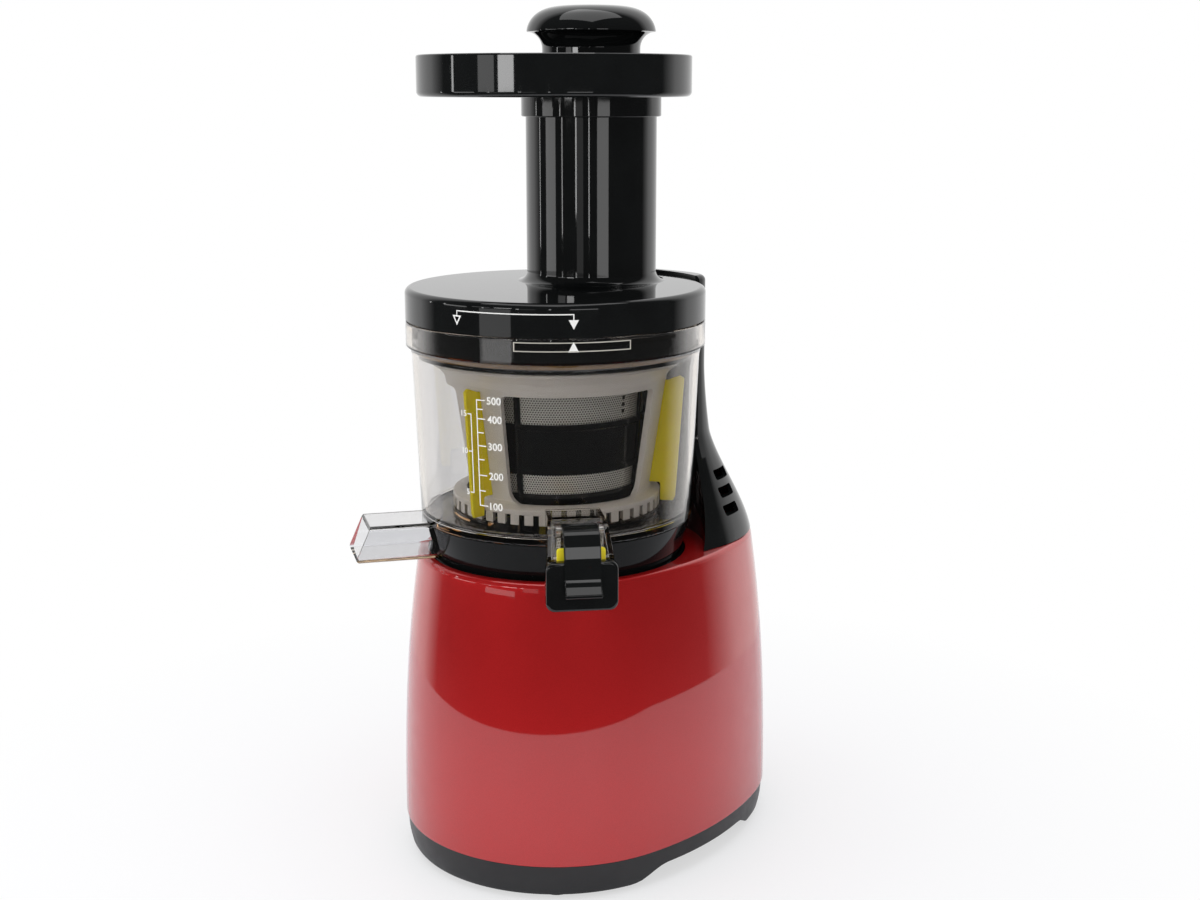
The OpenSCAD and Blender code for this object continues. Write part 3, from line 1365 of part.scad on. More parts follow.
base_housing();
base_tray();
rubber_feet();
base_screws();
bowl_dock();
shaft_seal();
rear_column();
column_screws();
lid_sensor();
motor_core();
motor_windings();
motor_brackets();
motor_bearings();
motor_bolts();
motor_rotor();
cooling_fan();
motor_pinion();
gearbox_case();
gearbox_cover();
gearbox_screws();
gear_axle();
output_bearings();
intermediate_gear();
output_gear();
drive_shaft();
control_board();
run_capacitor();
cord_gland();
switch_bezel();
power_rocker();
juice_bowl();
bowl_base();
bowl_seal();
pulp_stopper();
idler_pin();
strainer_frame();
strainer_mesh();
brush_frame();
wiper_blades();
idler_gear();
auger_screw();
auger_hub();
auger_seal();
juice_cap();
cap_seal();
cap_pin();
lid();
lid_bushing();
lid_gasket();
lid_magnet();
hopper_tray();
pusher();
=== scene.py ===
import json
import math

import bmesh
import bpy
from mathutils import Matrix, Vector

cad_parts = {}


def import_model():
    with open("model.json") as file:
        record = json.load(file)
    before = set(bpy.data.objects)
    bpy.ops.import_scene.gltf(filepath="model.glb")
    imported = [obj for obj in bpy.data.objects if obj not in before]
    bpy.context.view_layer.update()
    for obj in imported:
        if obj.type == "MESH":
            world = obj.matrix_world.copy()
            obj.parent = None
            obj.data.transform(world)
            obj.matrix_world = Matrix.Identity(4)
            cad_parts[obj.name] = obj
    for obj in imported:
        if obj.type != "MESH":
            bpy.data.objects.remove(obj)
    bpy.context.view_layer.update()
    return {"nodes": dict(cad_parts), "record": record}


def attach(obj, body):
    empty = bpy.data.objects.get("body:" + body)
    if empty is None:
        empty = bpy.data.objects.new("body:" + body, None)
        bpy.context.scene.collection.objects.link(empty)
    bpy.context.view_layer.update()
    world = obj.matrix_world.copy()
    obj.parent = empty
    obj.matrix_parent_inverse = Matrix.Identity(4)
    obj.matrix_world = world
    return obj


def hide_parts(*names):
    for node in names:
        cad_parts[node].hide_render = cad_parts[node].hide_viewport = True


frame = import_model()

# Sizes are in mm and angles in degrees, except where a comment says otherwise.
MM = 0.001
AXIS_Y = -26.25  # the bowl's axis, and the centre of the base's front end
REAR_Y = 26.25  # the centre of the base's rear end
JUICE, PULP = -44.0, -127.0  # directions of the two spouts
CREASE = 32  # edges sharper than this stay sharp
VIEW = (-0.616, 0.788)  # the camera's direction in plan
VIEW_TURN = -50.4  # where the camera stands, seen from the bowl's axis


def add(name, data):
    """A new object in the scene."""
    o = bpy.data.objects.new(name, data)
    bpy.context.scene.collection.objects.link(o)
    return o


# ---------- camera ----------

cam_data = bpy.data.cameras.new("camera")
cam_data.lens = 49.95
cam_data.sensor_width = 36
cam_data.clip_start = 0.02
camera = add("camera", cam_data)
camera.location = (0.5287, -0.66645, 0.3916)
tilt = math.radians(12.35)
look = Vector((VIEW[0] * math.cos(tilt), VIEW[1] * math.cos(tilt), -math.sin(tilt)))
camera.rotation_euler = look.to_track_quat("-Z", "Y").to_euler()
bpy.context.scene.camera = camera
bpy.context.scene.view_settings.view_transform = "Standard"

# ---------- geometry helpers ----------


def lerp(a, b, t):
    return a + (b - a) * t


def clamp(v, lo=0.0, hi=1.0):
    return min(max(v, lo), hi)


def polar(r, a):
    return r * math.cos(math.radians(a)), r * math.sin(math.radians(a))


def around(r, a):
    """The point in plan at radius r and angle a about the bowl's axis."""
    x, y = polar(r, a)
    return x, AXIS_Y + y


def across(points, turn=JUICE):
    """Points given as radius, sideways and height, turned to face along the direction turn."""
    c, s = polar(1, turn)
    return [(r * c - t * s, AXIS_Y + r * s + t * c, z) for r, t, z in points]


def quarter(n=8):
    """The angles of a quarter turn in n steps, in radians, without the start."""
    return [math.radians(90 * i / n) for i in range(1, n + 1)]


def fillet(points, radii, steps=5):
    """The points of a polygon with its corners rounded, all by one radius or each by its own."""
    pts = [Vector(p) for p in points]
    out = []
    for i, p in enumerate(pts):
        r = radii[i] if isinstance(radii, (list, tuple)) else radii
        if r <= 0:
            out.append(tuple(p))
            continue
        a, b = pts[i - 1] - p, pts[(i + 1) % len(pts)] - p
        la, lb = a.length, b.length
        a.normalize()
        b.normalize()
        angle = math.acos(clamp(a.dot(b), -1, 1))
        if angle > math.radians(176):
            out.append(tuple(p))
            continue
        t = min(r / math.tan(angle / 2), la * 0.48, lb * 0.48)
        rr = t * math.tan(angle / 2)
        c = p + (a + b).normalized() * (rr / math.sin(angle / 2))
        s, e = p + a * t - c, p + b * t - c
        a0, a1 = math.atan2(s.y, s.x), math.atan2(e.y, e.x)
        d = (a1 - a0 + math.pi) % (2 * math.pi) - math.pi
        turns = [a0 + d * k / steps for k in range(steps + 1)]
        out += [(c.x + rr * math.cos(u), c.y + rr * math.sin(u)) for u in turns]
    return out


def build(name, verts, faces, angle=CREASE):
    me = bpy.data.meshes.new(name)
    me.from_pydata([(x * MM, y * MM, z * MM) for x, y, z in verts], [], faces)
    o = add(name, me)
    tidy(o, angle)
    return o


def tidy(o, angle=CREASE):
    """Joins doubled points, turns the faces outwards and marks the sharp edges."""
    bm = bmesh.new()
    bm.from_mesh(o.data)
    bmesh.ops.remove_doubles(bm, verts=bm.verts, dist=2e-6)
    bmesh.ops.recalc_face_normals(bm, faces=bm.faces)
    bm.to_mesh(o.data)
    bm.free()
    o.data.shade_smooth()
    o.data.set_sharp_from_angle(angle=math.radians(angle))


def revolve(name, profile, centre=(0, AXIS_Y), n=160, arc=None):
    """A solid of revolution about a vertical axis, or a closed wedge of it from arc[0] to arc[1]."""
    verts, rings, faces = [], [], []
    cols = n if arc is None else n + 1
    for r, z in profile:
        if r < 1e-6:
            rings.append([len(verts)] * cols)
            verts.append((centre[0], centre[1], z))
        else:
            rings.append(list(range(len(verts), len(verts) + cols)))
            for k in range(cols):
                a = 360 * k / n if arc is None else lerp(arc[0], arc[1], k / n)
                x, y = polar(r, a)
                verts.append((centre[0] + x, centre[1] + y, z))
    for i in range(len(profile)):
        p, q = rings[i], rings[(i + 1) % len(rings)]
        for k in range(n):
            j = (k + 1) % cols
            f = []
            for v in (p[k], p[j], q[j], q[k]):
                if v not in f:
                    f.append(v)
            if len(f) > 2:
                faces.append(f)
    if arc is not None:
        faces.append([r[0] for r in rings])
        faces.append([r[-1] for r in rings][::-1])
    return build(name, verts, faces)


def loft(name, loops, wrap=False, angle=CREASE):
    """A closed skin through loops of equal length; wrap joins the last loop to the first."""
    n = len(loops[0])
    verts = [p for loop in loops for p in loop]
    faces = []
    rows = len(loops)
    for r in range(rows if wrap else rows - 1):
        a, b = r * n, ((r + 1) % rows) * n
        faces += [[a + i, a + (i + 1) % n, b + (i + 1) % n, b + i] for i in range(n)]
    if not wrap:
        faces.append(list(range(n))[::-1])
        faces.append([(rows - 1) * n + i for i in range(n)])
    return build(name, verts, faces, angle)


def bevelled(o, width, segments, limit):
    """Rounds the edges of o that are sharper than limit."""
    m = o.modifiers.new("bevel", "BEVEL")
    m.width = width * MM
    m.segments = segments
    m.limit_method = "ANGLE"
    m.angle_limit = math.radians(limit)
    m.use_clamp_overlap = True
    return apply(o)


def result(o):
    """A new mesh of o as its modifiers leave it."""
    return bpy.data.meshes.new_from_object(o.evaluated_get(bpy.context.evaluated_depsgraph_get()))


def apply(o, angle=CREASE):
    """Makes the modifiers' result the mesh; without an angle its sharp edges stay as they are."""
    me, old = result(o), o.data
    o.modifiers.clear()
    o.data = me
    me.name = o.name
    bpy.data.meshes.remove(old)
    if angle:
        tidy(o, angle)
    return o


def boolean(o, others, operation="DIFFERENCE"):
    """Cuts others from o, or joins or intersects them with it, one by one, and removes them."""
    for b in others if isinstance(others, (list, tuple)) else [others]:
        m = o.modifiers.new("bool", "BOOLEAN")
        m.object = b
        m.operation = operation
        m.solver = "EXACT"
        apply(o)
        bpy.data.objects.remove(b)
    return o


def prism(name, points, z0, z1):
    """Outline in plan, extruded upwards."""
    return loft(name, [[(x, y, z) for x, y in points] for z in (z0, z1)])


def slab(name, points, width, turn, middle=0.0):
    """Side view in radius and height, extruded across the direction turn from the bowl's axis."""
    sides = (middle - width / 2, middle + width / 2)
    return loft(name, [across([(r, t, z) for r, z in points], turn) for t in sides])


def upright(name, points, z0, z1, turn):
    """Outline in plan, in radius and sideways along the direction turn, extruded upwards."""
    return loft(name, [across([(r, t, z) for r, t in points], turn) for z in (z0, z1)])


def block(name, r0, r1, width, z0, z1, turn):
    corners = [(r0, -width / 2), (r1, -width / 2), (r1, width / 2), (r0, width / 2)]
    return upright(name, corners, z0, z1, turn)


def level(name, sections, height):
    """A skin through upright outlines, each with its depth y, about a level line at the height."""
    return loft(name, [[(x, y, height + z) for x, z in ring] for ring, y in sections])


def rounded_rect(w, h, r, steps=6):
    return fillet([(-w / 2, -h / 2), (w / 2, -h / 2), (w / 2, h / 2), (-w / 2, h / 2)], r, steps)


def join(o, *others):
    """Adds the meshes of others to o."""
    bm = bmesh.new()
    bm.from_mesh(o.data)
    for b in others:
        bm.from_mesh(b.data)
        bpy.data.objects.remove(b)
    bm.to_mesh(o.data)
    bm.free()
    o.data.shade_smooth()
    o.data.set_sharp_from_angle(angle=math.radians(CREASE))
    return o


def place(o, body, mat, replaces=()):
    """Finishes a piece: shading, material and the body that it belongs to, and hides the nodes that it
    replaces.
    """
    m = o.modifiers.new("normals", "WEIGHTED_NORMAL")
    m.keep_sharp = True
    m.weight = 100
    apply(o, None)
    o.data.materials.clear()
    o.data.materials.append(mat)
    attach(o, body)
    if replaces:
        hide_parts(*([replaces] if isinstance(replaces, str) else replaces))
    return o


# ---------- materials ----------


def nodes_of(name):
    m = bpy.data.materials.new(name)
    m.use_nodes = True
    nt = m.node_tree
    return m, nt, nt.nodes["Principled BSDF"]


def link(nt, a, b):
    nt.links.new(a, b)


def fill(node, values):
    """Sets the node's own inputs."""
    for key, v in values.items():
        node.inputs[key].default_value = v


def noise(nt, scale, detail=4.0, rough=0.5, stretch=(1, 1, 1)):
    """Noise in the piece's own coordinates."""
    co = nt.nodes.new("ShaderNodeTexCoord")
    mp = nt.nodes.new("ShaderNodeMapping")
    fill(mp, {"Scale": stretch})
    link(nt, co.outputs["Object"], mp.inputs["Vector"])
    n = nt.nodes.new("ShaderNodeTexNoise")
    fill(n, {"Scale": scale, "Detail": detail, "Roughness": rough})
    link(nt, mp.outputs[0], n.inputs["Vector"])
    return n.outputs["Fac"]


def ramp(nt, value, lo, hi, to_lo, to_hi):
    """Maps the value from lo..hi to to_lo..to_hi."""
    m = nt.nodes.new("ShaderNodeMapRange")
    fill(m, {"From Min": lo, "From Max": hi, "To Min": to_lo, "To Max": to_hi})
    link(nt, value, m.inputs["Value"])
    return m.outputs[0]


def calc(nt, kind, a, b=None, clamped=False):
    """One step of arithmetic on numbers or sockets."""
    n = nt.nodes.new("ShaderNodeMath")
    n.operation = kind
    n.use_clamp = clamped
    for i, v in enumerate((a, b)):
        if isinstance(v, (int, float)):
            fill(n, {i: v})
        elif v is not None:
            link(nt, v, n.inputs[i])
    return n.outputs[0]


def mixed(nt, share, a, b):
    """A shader between the shaders a and b."""
    m = nt.nodes.new("ShaderNodeMixShader")
    for i, v in enumerate((share, a, b)):
        link(nt, v, m.inputs[i])
    return m.outputs[0]


def mix(nt, fac, a, b):
    """A colour between the colours a and b."""
    m = nt.nodes.new("ShaderNodeMix")
    m.data_type = "RGBA"
    link(nt, fac, m.inputs[0])
    fill(m, {6: (*a, 1), 7: (*b, 1)})
    return m.outputs[2]


def bump(nt, p, height, strength, distance):
    b = nt.nodes.new("ShaderNodeBump")
    fill(b, {"Strength": strength, "Distance": distance * MM})
    link(nt, height, b.inputs["Height"])
    link(nt, b.outputs[0], p.inputs["Normal"])


def surface(name, a, b, rough, metal=0.0, grain=900, relief=0.05, spec=0.5, stretch=(1, 1, 1), sss=0.0):
    """A plastic, rubber or metal: two close colours, a varying roughness and a fine relief."""
    m, nt, p = nodes_of(name)
    cloud = noise(nt, 60, 5, 0.55, stretch)
    link(nt, mix(nt, ramp(nt, cloud, 0.35, 0.65, 0, 1), a, b), p.inputs["Base Color"])
    haze = noise(nt, 138, 6, 0.6, stretch)
    link(nt, ramp(nt, haze, 0.3, 0.7, *rough), p.inputs["Roughness"])
    fill(p, {"Metallic": metal, "Specular IOR Level": spec})
    if sss:
        radius = (0.004, 0.003, 0.002)
        fill(p, {"Subsurface Weight": sss, "Subsurface Radius": radius, "Subsurface Scale": 1.0})
    if relief:
        bump(nt, p, noise(nt, grain, 3, 0.5, stretch), 0.25, relief)
    return m


def red_lacquer():
    """Flaked red lacquer under a clear coat."""
    m, nt, p = nodes_of("red_lacquer")
    flake = nt.nodes.new("ShaderNodeTexVoronoi")
    fill(flake, {"Scale": 2600})
    co = nt.nodes.new("ShaderNodeTexCoord")
    link(nt, co.outputs["Object"], flake.inputs["Vector"])
    sparkle = ramp(nt, flake.outputs["Distance"], 0.0, 0.7, 0, 1)
    link(nt, mix(nt, sparkle, (0.56, 0.011, 0.013), (0.47, 0.007, 0.008)), p.inputs["Base Color"])
    link(nt, ramp(nt, noise(nt, 90, 4), 0.3, 0.7, 0.36, 0.42), p.inputs["Roughness"])
    fill(p, {"Specular IOR Level": 0.15, "Metallic": 0.5})
    fill(p, {"Coat Weight": 1.0, "Coat IOR": 1.7, "Coat Roughness": 0.03})
    bump(nt, p, noise(nt, 1500, 2), 0.15, 0.02)
    return m


def clear_plastic(name, tint, volume, density, lamp):
    """Clear plastic that lets lamps through, a little darker along its edges."""
    m, nt, p = nodes_of(name)
    fill(p, {"Base Color": (*tint, 1), "Transmission Weight": 1.0, "IOR": 1.49, "Roughness": 0.0})
    bump(nt, p, noise(nt, 40, 2), 0.08, 0.15)
    out = nt.nodes["Material Output"]
    see = nt.nodes.new("ShaderNodeBsdfTransparent")
    fill(see, {"Color": (*lamp, 1)})
    path = nt.nodes.new("ShaderNodeLightPath")
    both = mixed(nt, path.outputs["Is Shadow Ray"], p.outputs[0], see.outputs[0])
    link(nt, both, out.inputs["Surface"])
    absorb = nt.nodes.new("ShaderNodeVolumeAbsorption")
    fill(absorb, {"Color": (*volume, 1), "Density": density})
    link(nt, absorb.outputs[0], out.inputs["Volume"])
    return m


RED = red_lacquer()
JET = (0.0045, 0.0050, 0.0052), (0.0060, 0.0068, 0.0070)
BLACK = surface("gloss_black", *JET, (0.03, 0.06), relief=0.01, grain=110)
FOOT_BLACK = surface("foot_black", *JET, (0.06, 0.10), relief=0.01, grain=110, spec=0.15)
SATIN = surface(
    "satin_black", (0.011, 0.011, 0.012), (0.015, 0.015, 0.016), (0.30, 0.42), relief=0.04,
)
CREAM = surface(
    "cream_plastic", (0.80, 0.76, 0.71), (0.77, 0.73, 0.68), (0.28, 0.36), relief=0.03, sss=0.05,
)
YELLOW = surface(
    "yellow_silicone", (0.94, 0.77, 0.012), (0.90, 0.71, 0.010), (0.38, 0.48), sss=0.5,
)
RUBBER = surface("rubber", (0.018, 0.018, 0.018), (0.03, 0.03, 0.03), (0.7, 0.85), relief=0.1)
STEEL = surface(
    "steel", (0.60, 0.59, 0.57), (0.52, 0.51, 0.50), (0.22, 0.34), metal=1.0, relief=0.02, stretch=(1, 1, 12),
)
CAST = surface(
    "cast_metal", (0.35, 0.35, 0.36), (0.27, 0.27, 0.28), (0.42, 0.58), metal=0.9, relief=0.15, grain=600,
)
COPPER = surface(
    "copper", (0.70, 0.30, 0.14), (0.55, 0.20, 0.09), (0.25, 0.4), metal=0.9, relief=0.2, grain=300,
    stretch=(1, 1, 8),
)
BOARD = surface("circuit_board", (0.02, 0.16, 0.07), (0.03, 0.22, 0.10), (0.35, 0.5))
CLEAR = clear_plastic(
    "clear_plastic", (0.855, 0.875, 0.915), (0.78, 0.48, 0.06), 36, (0.96, 0.96, 0.955),
)
AMBER = surface("amber_silicone", (0.24, 0.12, 0.010), (0.18, 0.09, 0.008), (0.3, 0.4), relief=0.03)
WHITE = surface("white_print", (0.95, 0.95, 0.93), (0.91, 0.91, 0.89), (0.35, 0.45), relief=0.0)
FROST = surface("frosted_plastic", (0.60, 0.58, 0.52), (0.52, 0.50, 0.44), (0.25, 0.35), relief=0.02)

SLOT = {
    "red_shell": RED, "black_plastic": BLACK, "matte_black": SATIN, "rubber": RUBBER,
    "steel": STEEL, "steel_mesh": STEEL, "cast_metal": CAST, "copper": COPPER,
    "circuit": BOARD, "silicone": YELLOW, "cream_plastic": CREAM, "clear_plastic": CLEAR,
}
slots = {s["node"]: s["material_slot"] for s in frame["record"]["subparts"]}
for name, o in frame["nodes"].items():
    o.data.materials.clear()
    o.data.materials.append(SLOT[slots[name]])

# ---------- base ----------

BASE_R, HALF_W = 80.4, 84.0  # radius of the round ends, half of the width
SIDE_R, SIDE_A, SIDE_C = 177.903, 15.618, 93.9031  # side arcs: radius, half angle, centre's distance
SEAM, DECK = 19.0, 160.0  # heights of the seam over the foot and of the deck
WELL_R = 66.0  # opening for the bowl's dock
SWITCH_Z, GLAND_Z = 112.0, 44.0
FEET = [(40, AXIS_Y - 50), (-40, AXIS_Y - 50), (46, REAR_Y + 42), (-46, REAR_Y + 42)]


def lean(z):
    """How far the base's wall leans in at height z."""
    return 9.4 * (max(0.0, z - SEAM) / (DECK - SEAM)) ** 2.3


def arc(x, y, r, a0, a1, n):
    spokes = [polar(r, lerp(a0, a1, i / n)) for i in range(n)]
    return [(x + u, y + v) for u, v in spokes]


def rear_wall(z):
    return REAR_Y + BASE_R - lean(z)


def base_outline(inset):
    """The base in plan: round ends joined by long side arcs."""
    s, e = 24, 64
    return (
        arc(-SIDE_C, 0, SIDE_R - inset, -SIDE_A, SIDE_A, s)
        + arc(0, REAR_Y, BASE_R - inset, SIDE_A, 180 - SIDE_A, e)
        + arc(SIDE_C, 0, SIDE_R - inset, 180 - SIDE_A, 180 + SIDE_A, s)
        + arc(0, AXIS_Y, BASE_R - inset, 180 + SIDE_A, 360 - SIDE_A, e)
    )


def base_loop(inset, z):
    return [(x, y, z) for x, y in base_outline(inset)]


def round_hole(loop, r, z):
    """The circle of radius r about the bowl's axis, with one point towards each point of loop."""
    out = []
    for x, y, _ in loop:
        a = math.atan2(y - AXIS_Y, x)
        out.append((r * math.cos(a), AXIS_Y + r * math.sin(a), z))
    return out


def housing():
    rows = [base_loop(0.5, SEAM), base_loop(0.1, SEAM + 0.15), base_loop(0.0, SEAM + 0.6)]
    edge = 2.5
    rows += [base_loop(lean(z), z) for z in (lerp(SEAM + 1.5, DECK - edge, i / 34) for i in range(35))]
    for a in quarter(7):
        rows.append(base_loop(lean(DECK) + edge * (1 - math.cos(a)), DECK - edge + edge * math.sin(a)))
    top = rows[-1]
    for t in (0.06, 0.5):
        hole = round_hole(top, WELL_R + 0.4, DECK)
        rows.append([(lerp(p[0], q[0], t), lerp(p[1], q[1], t), DECK) for p, q in zip(top, hole)])
    lip = ((0.4, 0), (0.1, 0.1), (0, 0.4), (0, 3))
    rows += [round_hole(top, WELL_R + dr, DECK - dz) for dr, dz in lip]
    rows += [base_loop(lean(z) + 3, z) for z in (lerp(DECK - 3, SEAM, i / 12) for i in range(13))]
    o = loft("base_shell", rows, wrap=True)
    y = rear_wall(SWITCH_Z)
    seat = [(y - 4.3, 0), (y + 0.75, 0), (y + 1.03, 0.12), (y + 1.15, 0.4)]
    pad = [(rounded_rect(38 - 2 * i, 30 - 2 * i, 2, 5), yy) for yy, i in seat]
    boolean(o, level("seat", pad, SWITCH_Z), "UNION")
    boolean(o, level("cut", [(rounded_rect(31, 24, 0.6, 3), yy) for yy in (y - 12, y + 12)], SWITCH_Z))
    y = rear_wall(GLAND_Z)
    ring = [polar(6.8, a) for a in range(0, 360, 8)]
    boolean(o, level("cut", [(ring, yy) for yy in (y - 12, y + 12)], GLAND_Z))
    return place(o, "base", RED, "base_housing")


def arch(y):
    """How far the foot's rim rises at y: it is arched between the rubber feet."""
    start, end, run = -57.25, 46.25, 21
    t = clamp(min((y - start) / run, (end - y) / run))
    return 7.5 * t * t * (3 - 2 * t)


def tray():
    rim = 2.5
    skirt = [(rim, 4.2), (3.0, 3.6), (4.5, 2.6), (9.5, 1.4), (14, 1.0), (18.7, 0.7), (SEAM, 1.0)]

    def inset_at(z):
        for (z0, i0), (z1, i1) in zip(skirt, skirt[1:]):
            if z <= z1:
                return lerp(i0, i1, clamp((z - z0) / (z1 - z0)))
        return skirt[-1][1]

    plan = base_outline(0)
    outlines = {}

    def outline(inset):
        key = round(inset, 3)
        if key not in outlines:
            outlines[key] = base_outline(key)
        return outlines[key]

    def row(t, extra=0.0):
        """t runs from the arched rim to the seam."""
        out = []
        for i, (_, y) in enumerate(plan):
            z = lerp(rim + arch(y), SEAM, t)
            out.append((*outline(inset_at(z) + extra)[i], z))
        return out

    rows = [base_loop(6.5, 11.0), row(0.0, 2.6), row(0.0, 0.6)]
    rows += [row(t) for t in (0.02, 0.06, 0.14, 0.3, 0.5, 0.7, 0.85, 0.98, 1.0)]
    rows += [base_loop(3.5, SEAM), base_loop(3.5, 24), base_loop(5.3, 24), base_loop(5.3, 14)]
    o = loft("base_foot", rows)
    for i in range(-4, 5):
        points = [(i * 7 + x, -10 + y) for x, y in rounded_rect(3, 44, 1.4, 4)]
        boolean(o, prism("cut", points, 9, 16))
    for x, y in FEET:
        join(o, revolve("seat", [(0, 5), (11.4, 5), (12, 5.6), (12, 12), (0, 12)], (x, y), 48))
    return place(o, "base", SATIN, "base_tray")


def feet():
    profile = [(0, 0.4), (4, 0.4), (4.4, 0), (7.6, 0), (8.2, 0.25), (9, 1.2), (9, 5), (0, 5)]
    parts = [revolve("foot", profile, p, 56) for p in FEET]
    return place(join(parts[0], *parts[1:]), "base", RUBBER, "rubber_feet")


# ---------- column ----------

COLUMN_R, COLUMN_TOP = 76.3, 296.0  # the hollow face round the bowl, and the head
SWEEP, FLARE = 213.0, 250.0  # heights under which its sides and its back widen
HEAD_ANGLE, FOOT_ANGLE = 31.5, 63.0  # half of the angle that its face takes, above and below
ENDS = REAR_Y - AXIS_Y


def sweep(z):
    """How far the sides have widened at height z, from 0 to 1."""
    return clamp((SWEEP - z) / (SWEEP - DECK)) ** 1.5


def flare(z):
    """How far the back has widened at height z, from 0 to 1."""
    return clamp((FLARE - z) / (FLARE - DECK)) ** 1.5


def tip_angle(z):
    return lerp(HEAD_ANGLE, FOOT_ANGLE, sweep(z))


def side_x(z):
    return min(COLUMN_R * math.sin(math.radians(tip_angle(z))) + 1.8, HALF_W - lean(DECK) - 2.6)


def shoulder_y(z):
    return lerp(COLUMN_R * math.cos(math.radians(HEAD_ANGLE)) + 1, ENDS, sweep(z))


def rear_reach(z):
    return lerp(82.0, ENDS + BASE_R - lean(DECK) - 2.4, flare(z))


def column_loop(z, trim, inner=False):
    """The column in plan at height z, trimmed by trim, or the outline of its hollow."""
    back, face = 30, 44
    power = lerp(3, 2.15, flare(z) ** 2)
    sx, sy, ry = side_x(z), shoulder_y(z), rear_reach(z)
    out = []
    if inner:
        w = sx - 4.5
        for i in range(2 * back + 1):
            x = w * math.cos(math.radians(90 * i / back))
            out.append((x, sy + (ry - sy - 2.5) * (1 - (abs(x) / (sx - 2.5)) ** power) ** (1 / power)))
        for i in range(face + 1):
            x = -w * math.cos(math.radians(180 * i / face))
            out.append((x, math.sqrt((COLUMN_R + 2.5) ** 2 - x * x)))
    else:
        e = 2 / power
        half = []
        for i in range(back + 1):
            c, s = polar(1, 90 * i / back)
            half.append(((sx - trim) * max(c, 0) ** e, sy + (ry - sy - trim) * s ** e))
        out = half + [(-x, y) for x, y in half[-2::-1]]
        a = tip_angle(z) - trim / 2
        for i in range(face + 1):
            b = math.radians(lerp(-a, a, i / face))
            out.append((COLUMN_R * math.sin(b), COLUMN_R * math.cos(b)))
    return [(x, AXIS_Y + y, z) for x, y in out]


def column():
    inner = [column_loop(lerp(228, DECK, i / 14), 0, True) for i in range(15)]
    outer = [column_loop(DECK + 0.02, 0.5), column_loop(DECK + 0.3, 0)]
    outer += [column_loop(lerp(DECK + 1.5, COLUMN_TOP - 3, (i / 60) ** 1.15), 0) for i in range(61)]
    for a in quarter(6):
        outer.append(column_loop(COLUMN_TOP - 3 + 3 * math.sin(a), 3 * (1 - math.cos(a))))
    o = loft("column_shell", inner + outer, angle=40)
    for i in range(3):
        z = 191 - 8.3 * i
        for s in (-1, 1):
            y = AXIS_Y + shoulder_y(z) + 7 + 7.5 - i * 0.5
            x = s * (side_x(z) + 4)
            ring = [(y + u, z + v) for u, v in rounded_rect(15, 5, 1.2, 4)]
            boolean(o, loft("cut", [[(xx, yy, zz) for yy, zz in ring] for xx in (x - 20, x + 20)]))
    return place(o, "base", BLACK, "rear_column")


# ---------- bowl ----------

FLOOR, SHOULDER, RIM, TOP = 181.0, 258.0, 278.0, 294.5  # heights of the bowl, and of the lid's top
BOWL_TOP_R, BOWL_FOOT_R, LID_R = 72.0, 69.0, 75.0
PIVOT = (91.2, 192.3)  # the flap's hinge: radius and height


def bowl_wall_r(z):
    """Outer radius of the bowl at height z, up to its shoulder."""
    return lerp(BOWL_FOOT_R, BOWL_TOP_R, clamp((z - 179) / (SHOULDER - 179)))


def pulp_form(name, t, out):
    """The straight pulp duct with its slanted mouth, its wall moved in by t and its mouth out by out."""
    low, high, r = 161.2 + t, 179.5 - t, 105 + out
    ring = rounded_rect(31 - 2 * t, high - low, 2.6 - t, 6)
    mid = (low + high) / 2

    def mouth(z):
        if z < low + 1.5:
            return lerp(r - 1.5, r, (z - low) / 1.5)
        return lerp(r, r - 7.5, (z - low - 1.5) / (high - low - 1.5))

    start = across([(21 + t, x, mid + z) for x, z in ring], PULP)
    return loft(name, [start, across([(mouth(mid + z), x, mid + z) for x, z in ring], PULP)])


def juice_form(t, out):
    """The hooded juice spout, its wall moved in by t and its mouth out by out."""
    r = 96.5 + out
    low = 180 if t == 0 else 181
    side = [
        (69 + t, 166), (73.5 + t, 160.5 + t), (78, 158.5 + t), (r, 158.5 + t), (r, 181 - t),
        (96.5 - t, 181 - t), (86 - t, 193 - t), (80, 195.5 - t), (65.5, 196 - t), (65.5, low), (69 + t, low),
    ]
    plan = [(60, 12.9 - t), (64, 12.9 - t), (80, 13.5 - t), (116.5, 17.9 - t)]
    o = slab("juice", fillet(side, [0.5, 3, 3, 0, 0, 1.5, 3, 3, 0, 0, 0], 5), 60, JUICE)
    corners = plan + [(x, -w) for x, w in plan[::-1]]
    boolean(o, upright("cut", corners, 140, 215, JUICE), "INTERSECT")
    bevelled(o, 2.4 - t * 0.6, 4, 50)
    if t == 0:
        boolean(o, block("cut", 96.5, 120, 40, 150, 200, JUICE))
    return o


def ears():
    """The two cheeks that hold the flap's pin."""
    made = []
    px, pz = PIVOT
    hull = [
        (px - 8, pz - 2.5), (px + 2, pz - 10), (px + 3.2, pz - 1.2), (px + 2.3, pz + 2.3),
        (px, pz + 3.2), (px - 1.5, pz + 2.9), (px - 7, pz + 1.5),
    ]
    for s in (-1, 1):
        o = slab("ear", fillet(hull, [0, 0, 1.5, 2, 2, 2, 1], 4), 2.2, JUICE, s * (17 / 2 + 0.3 + 1.1))
        made.append(bevelled(o, 0.35, 2, 50))
    return made


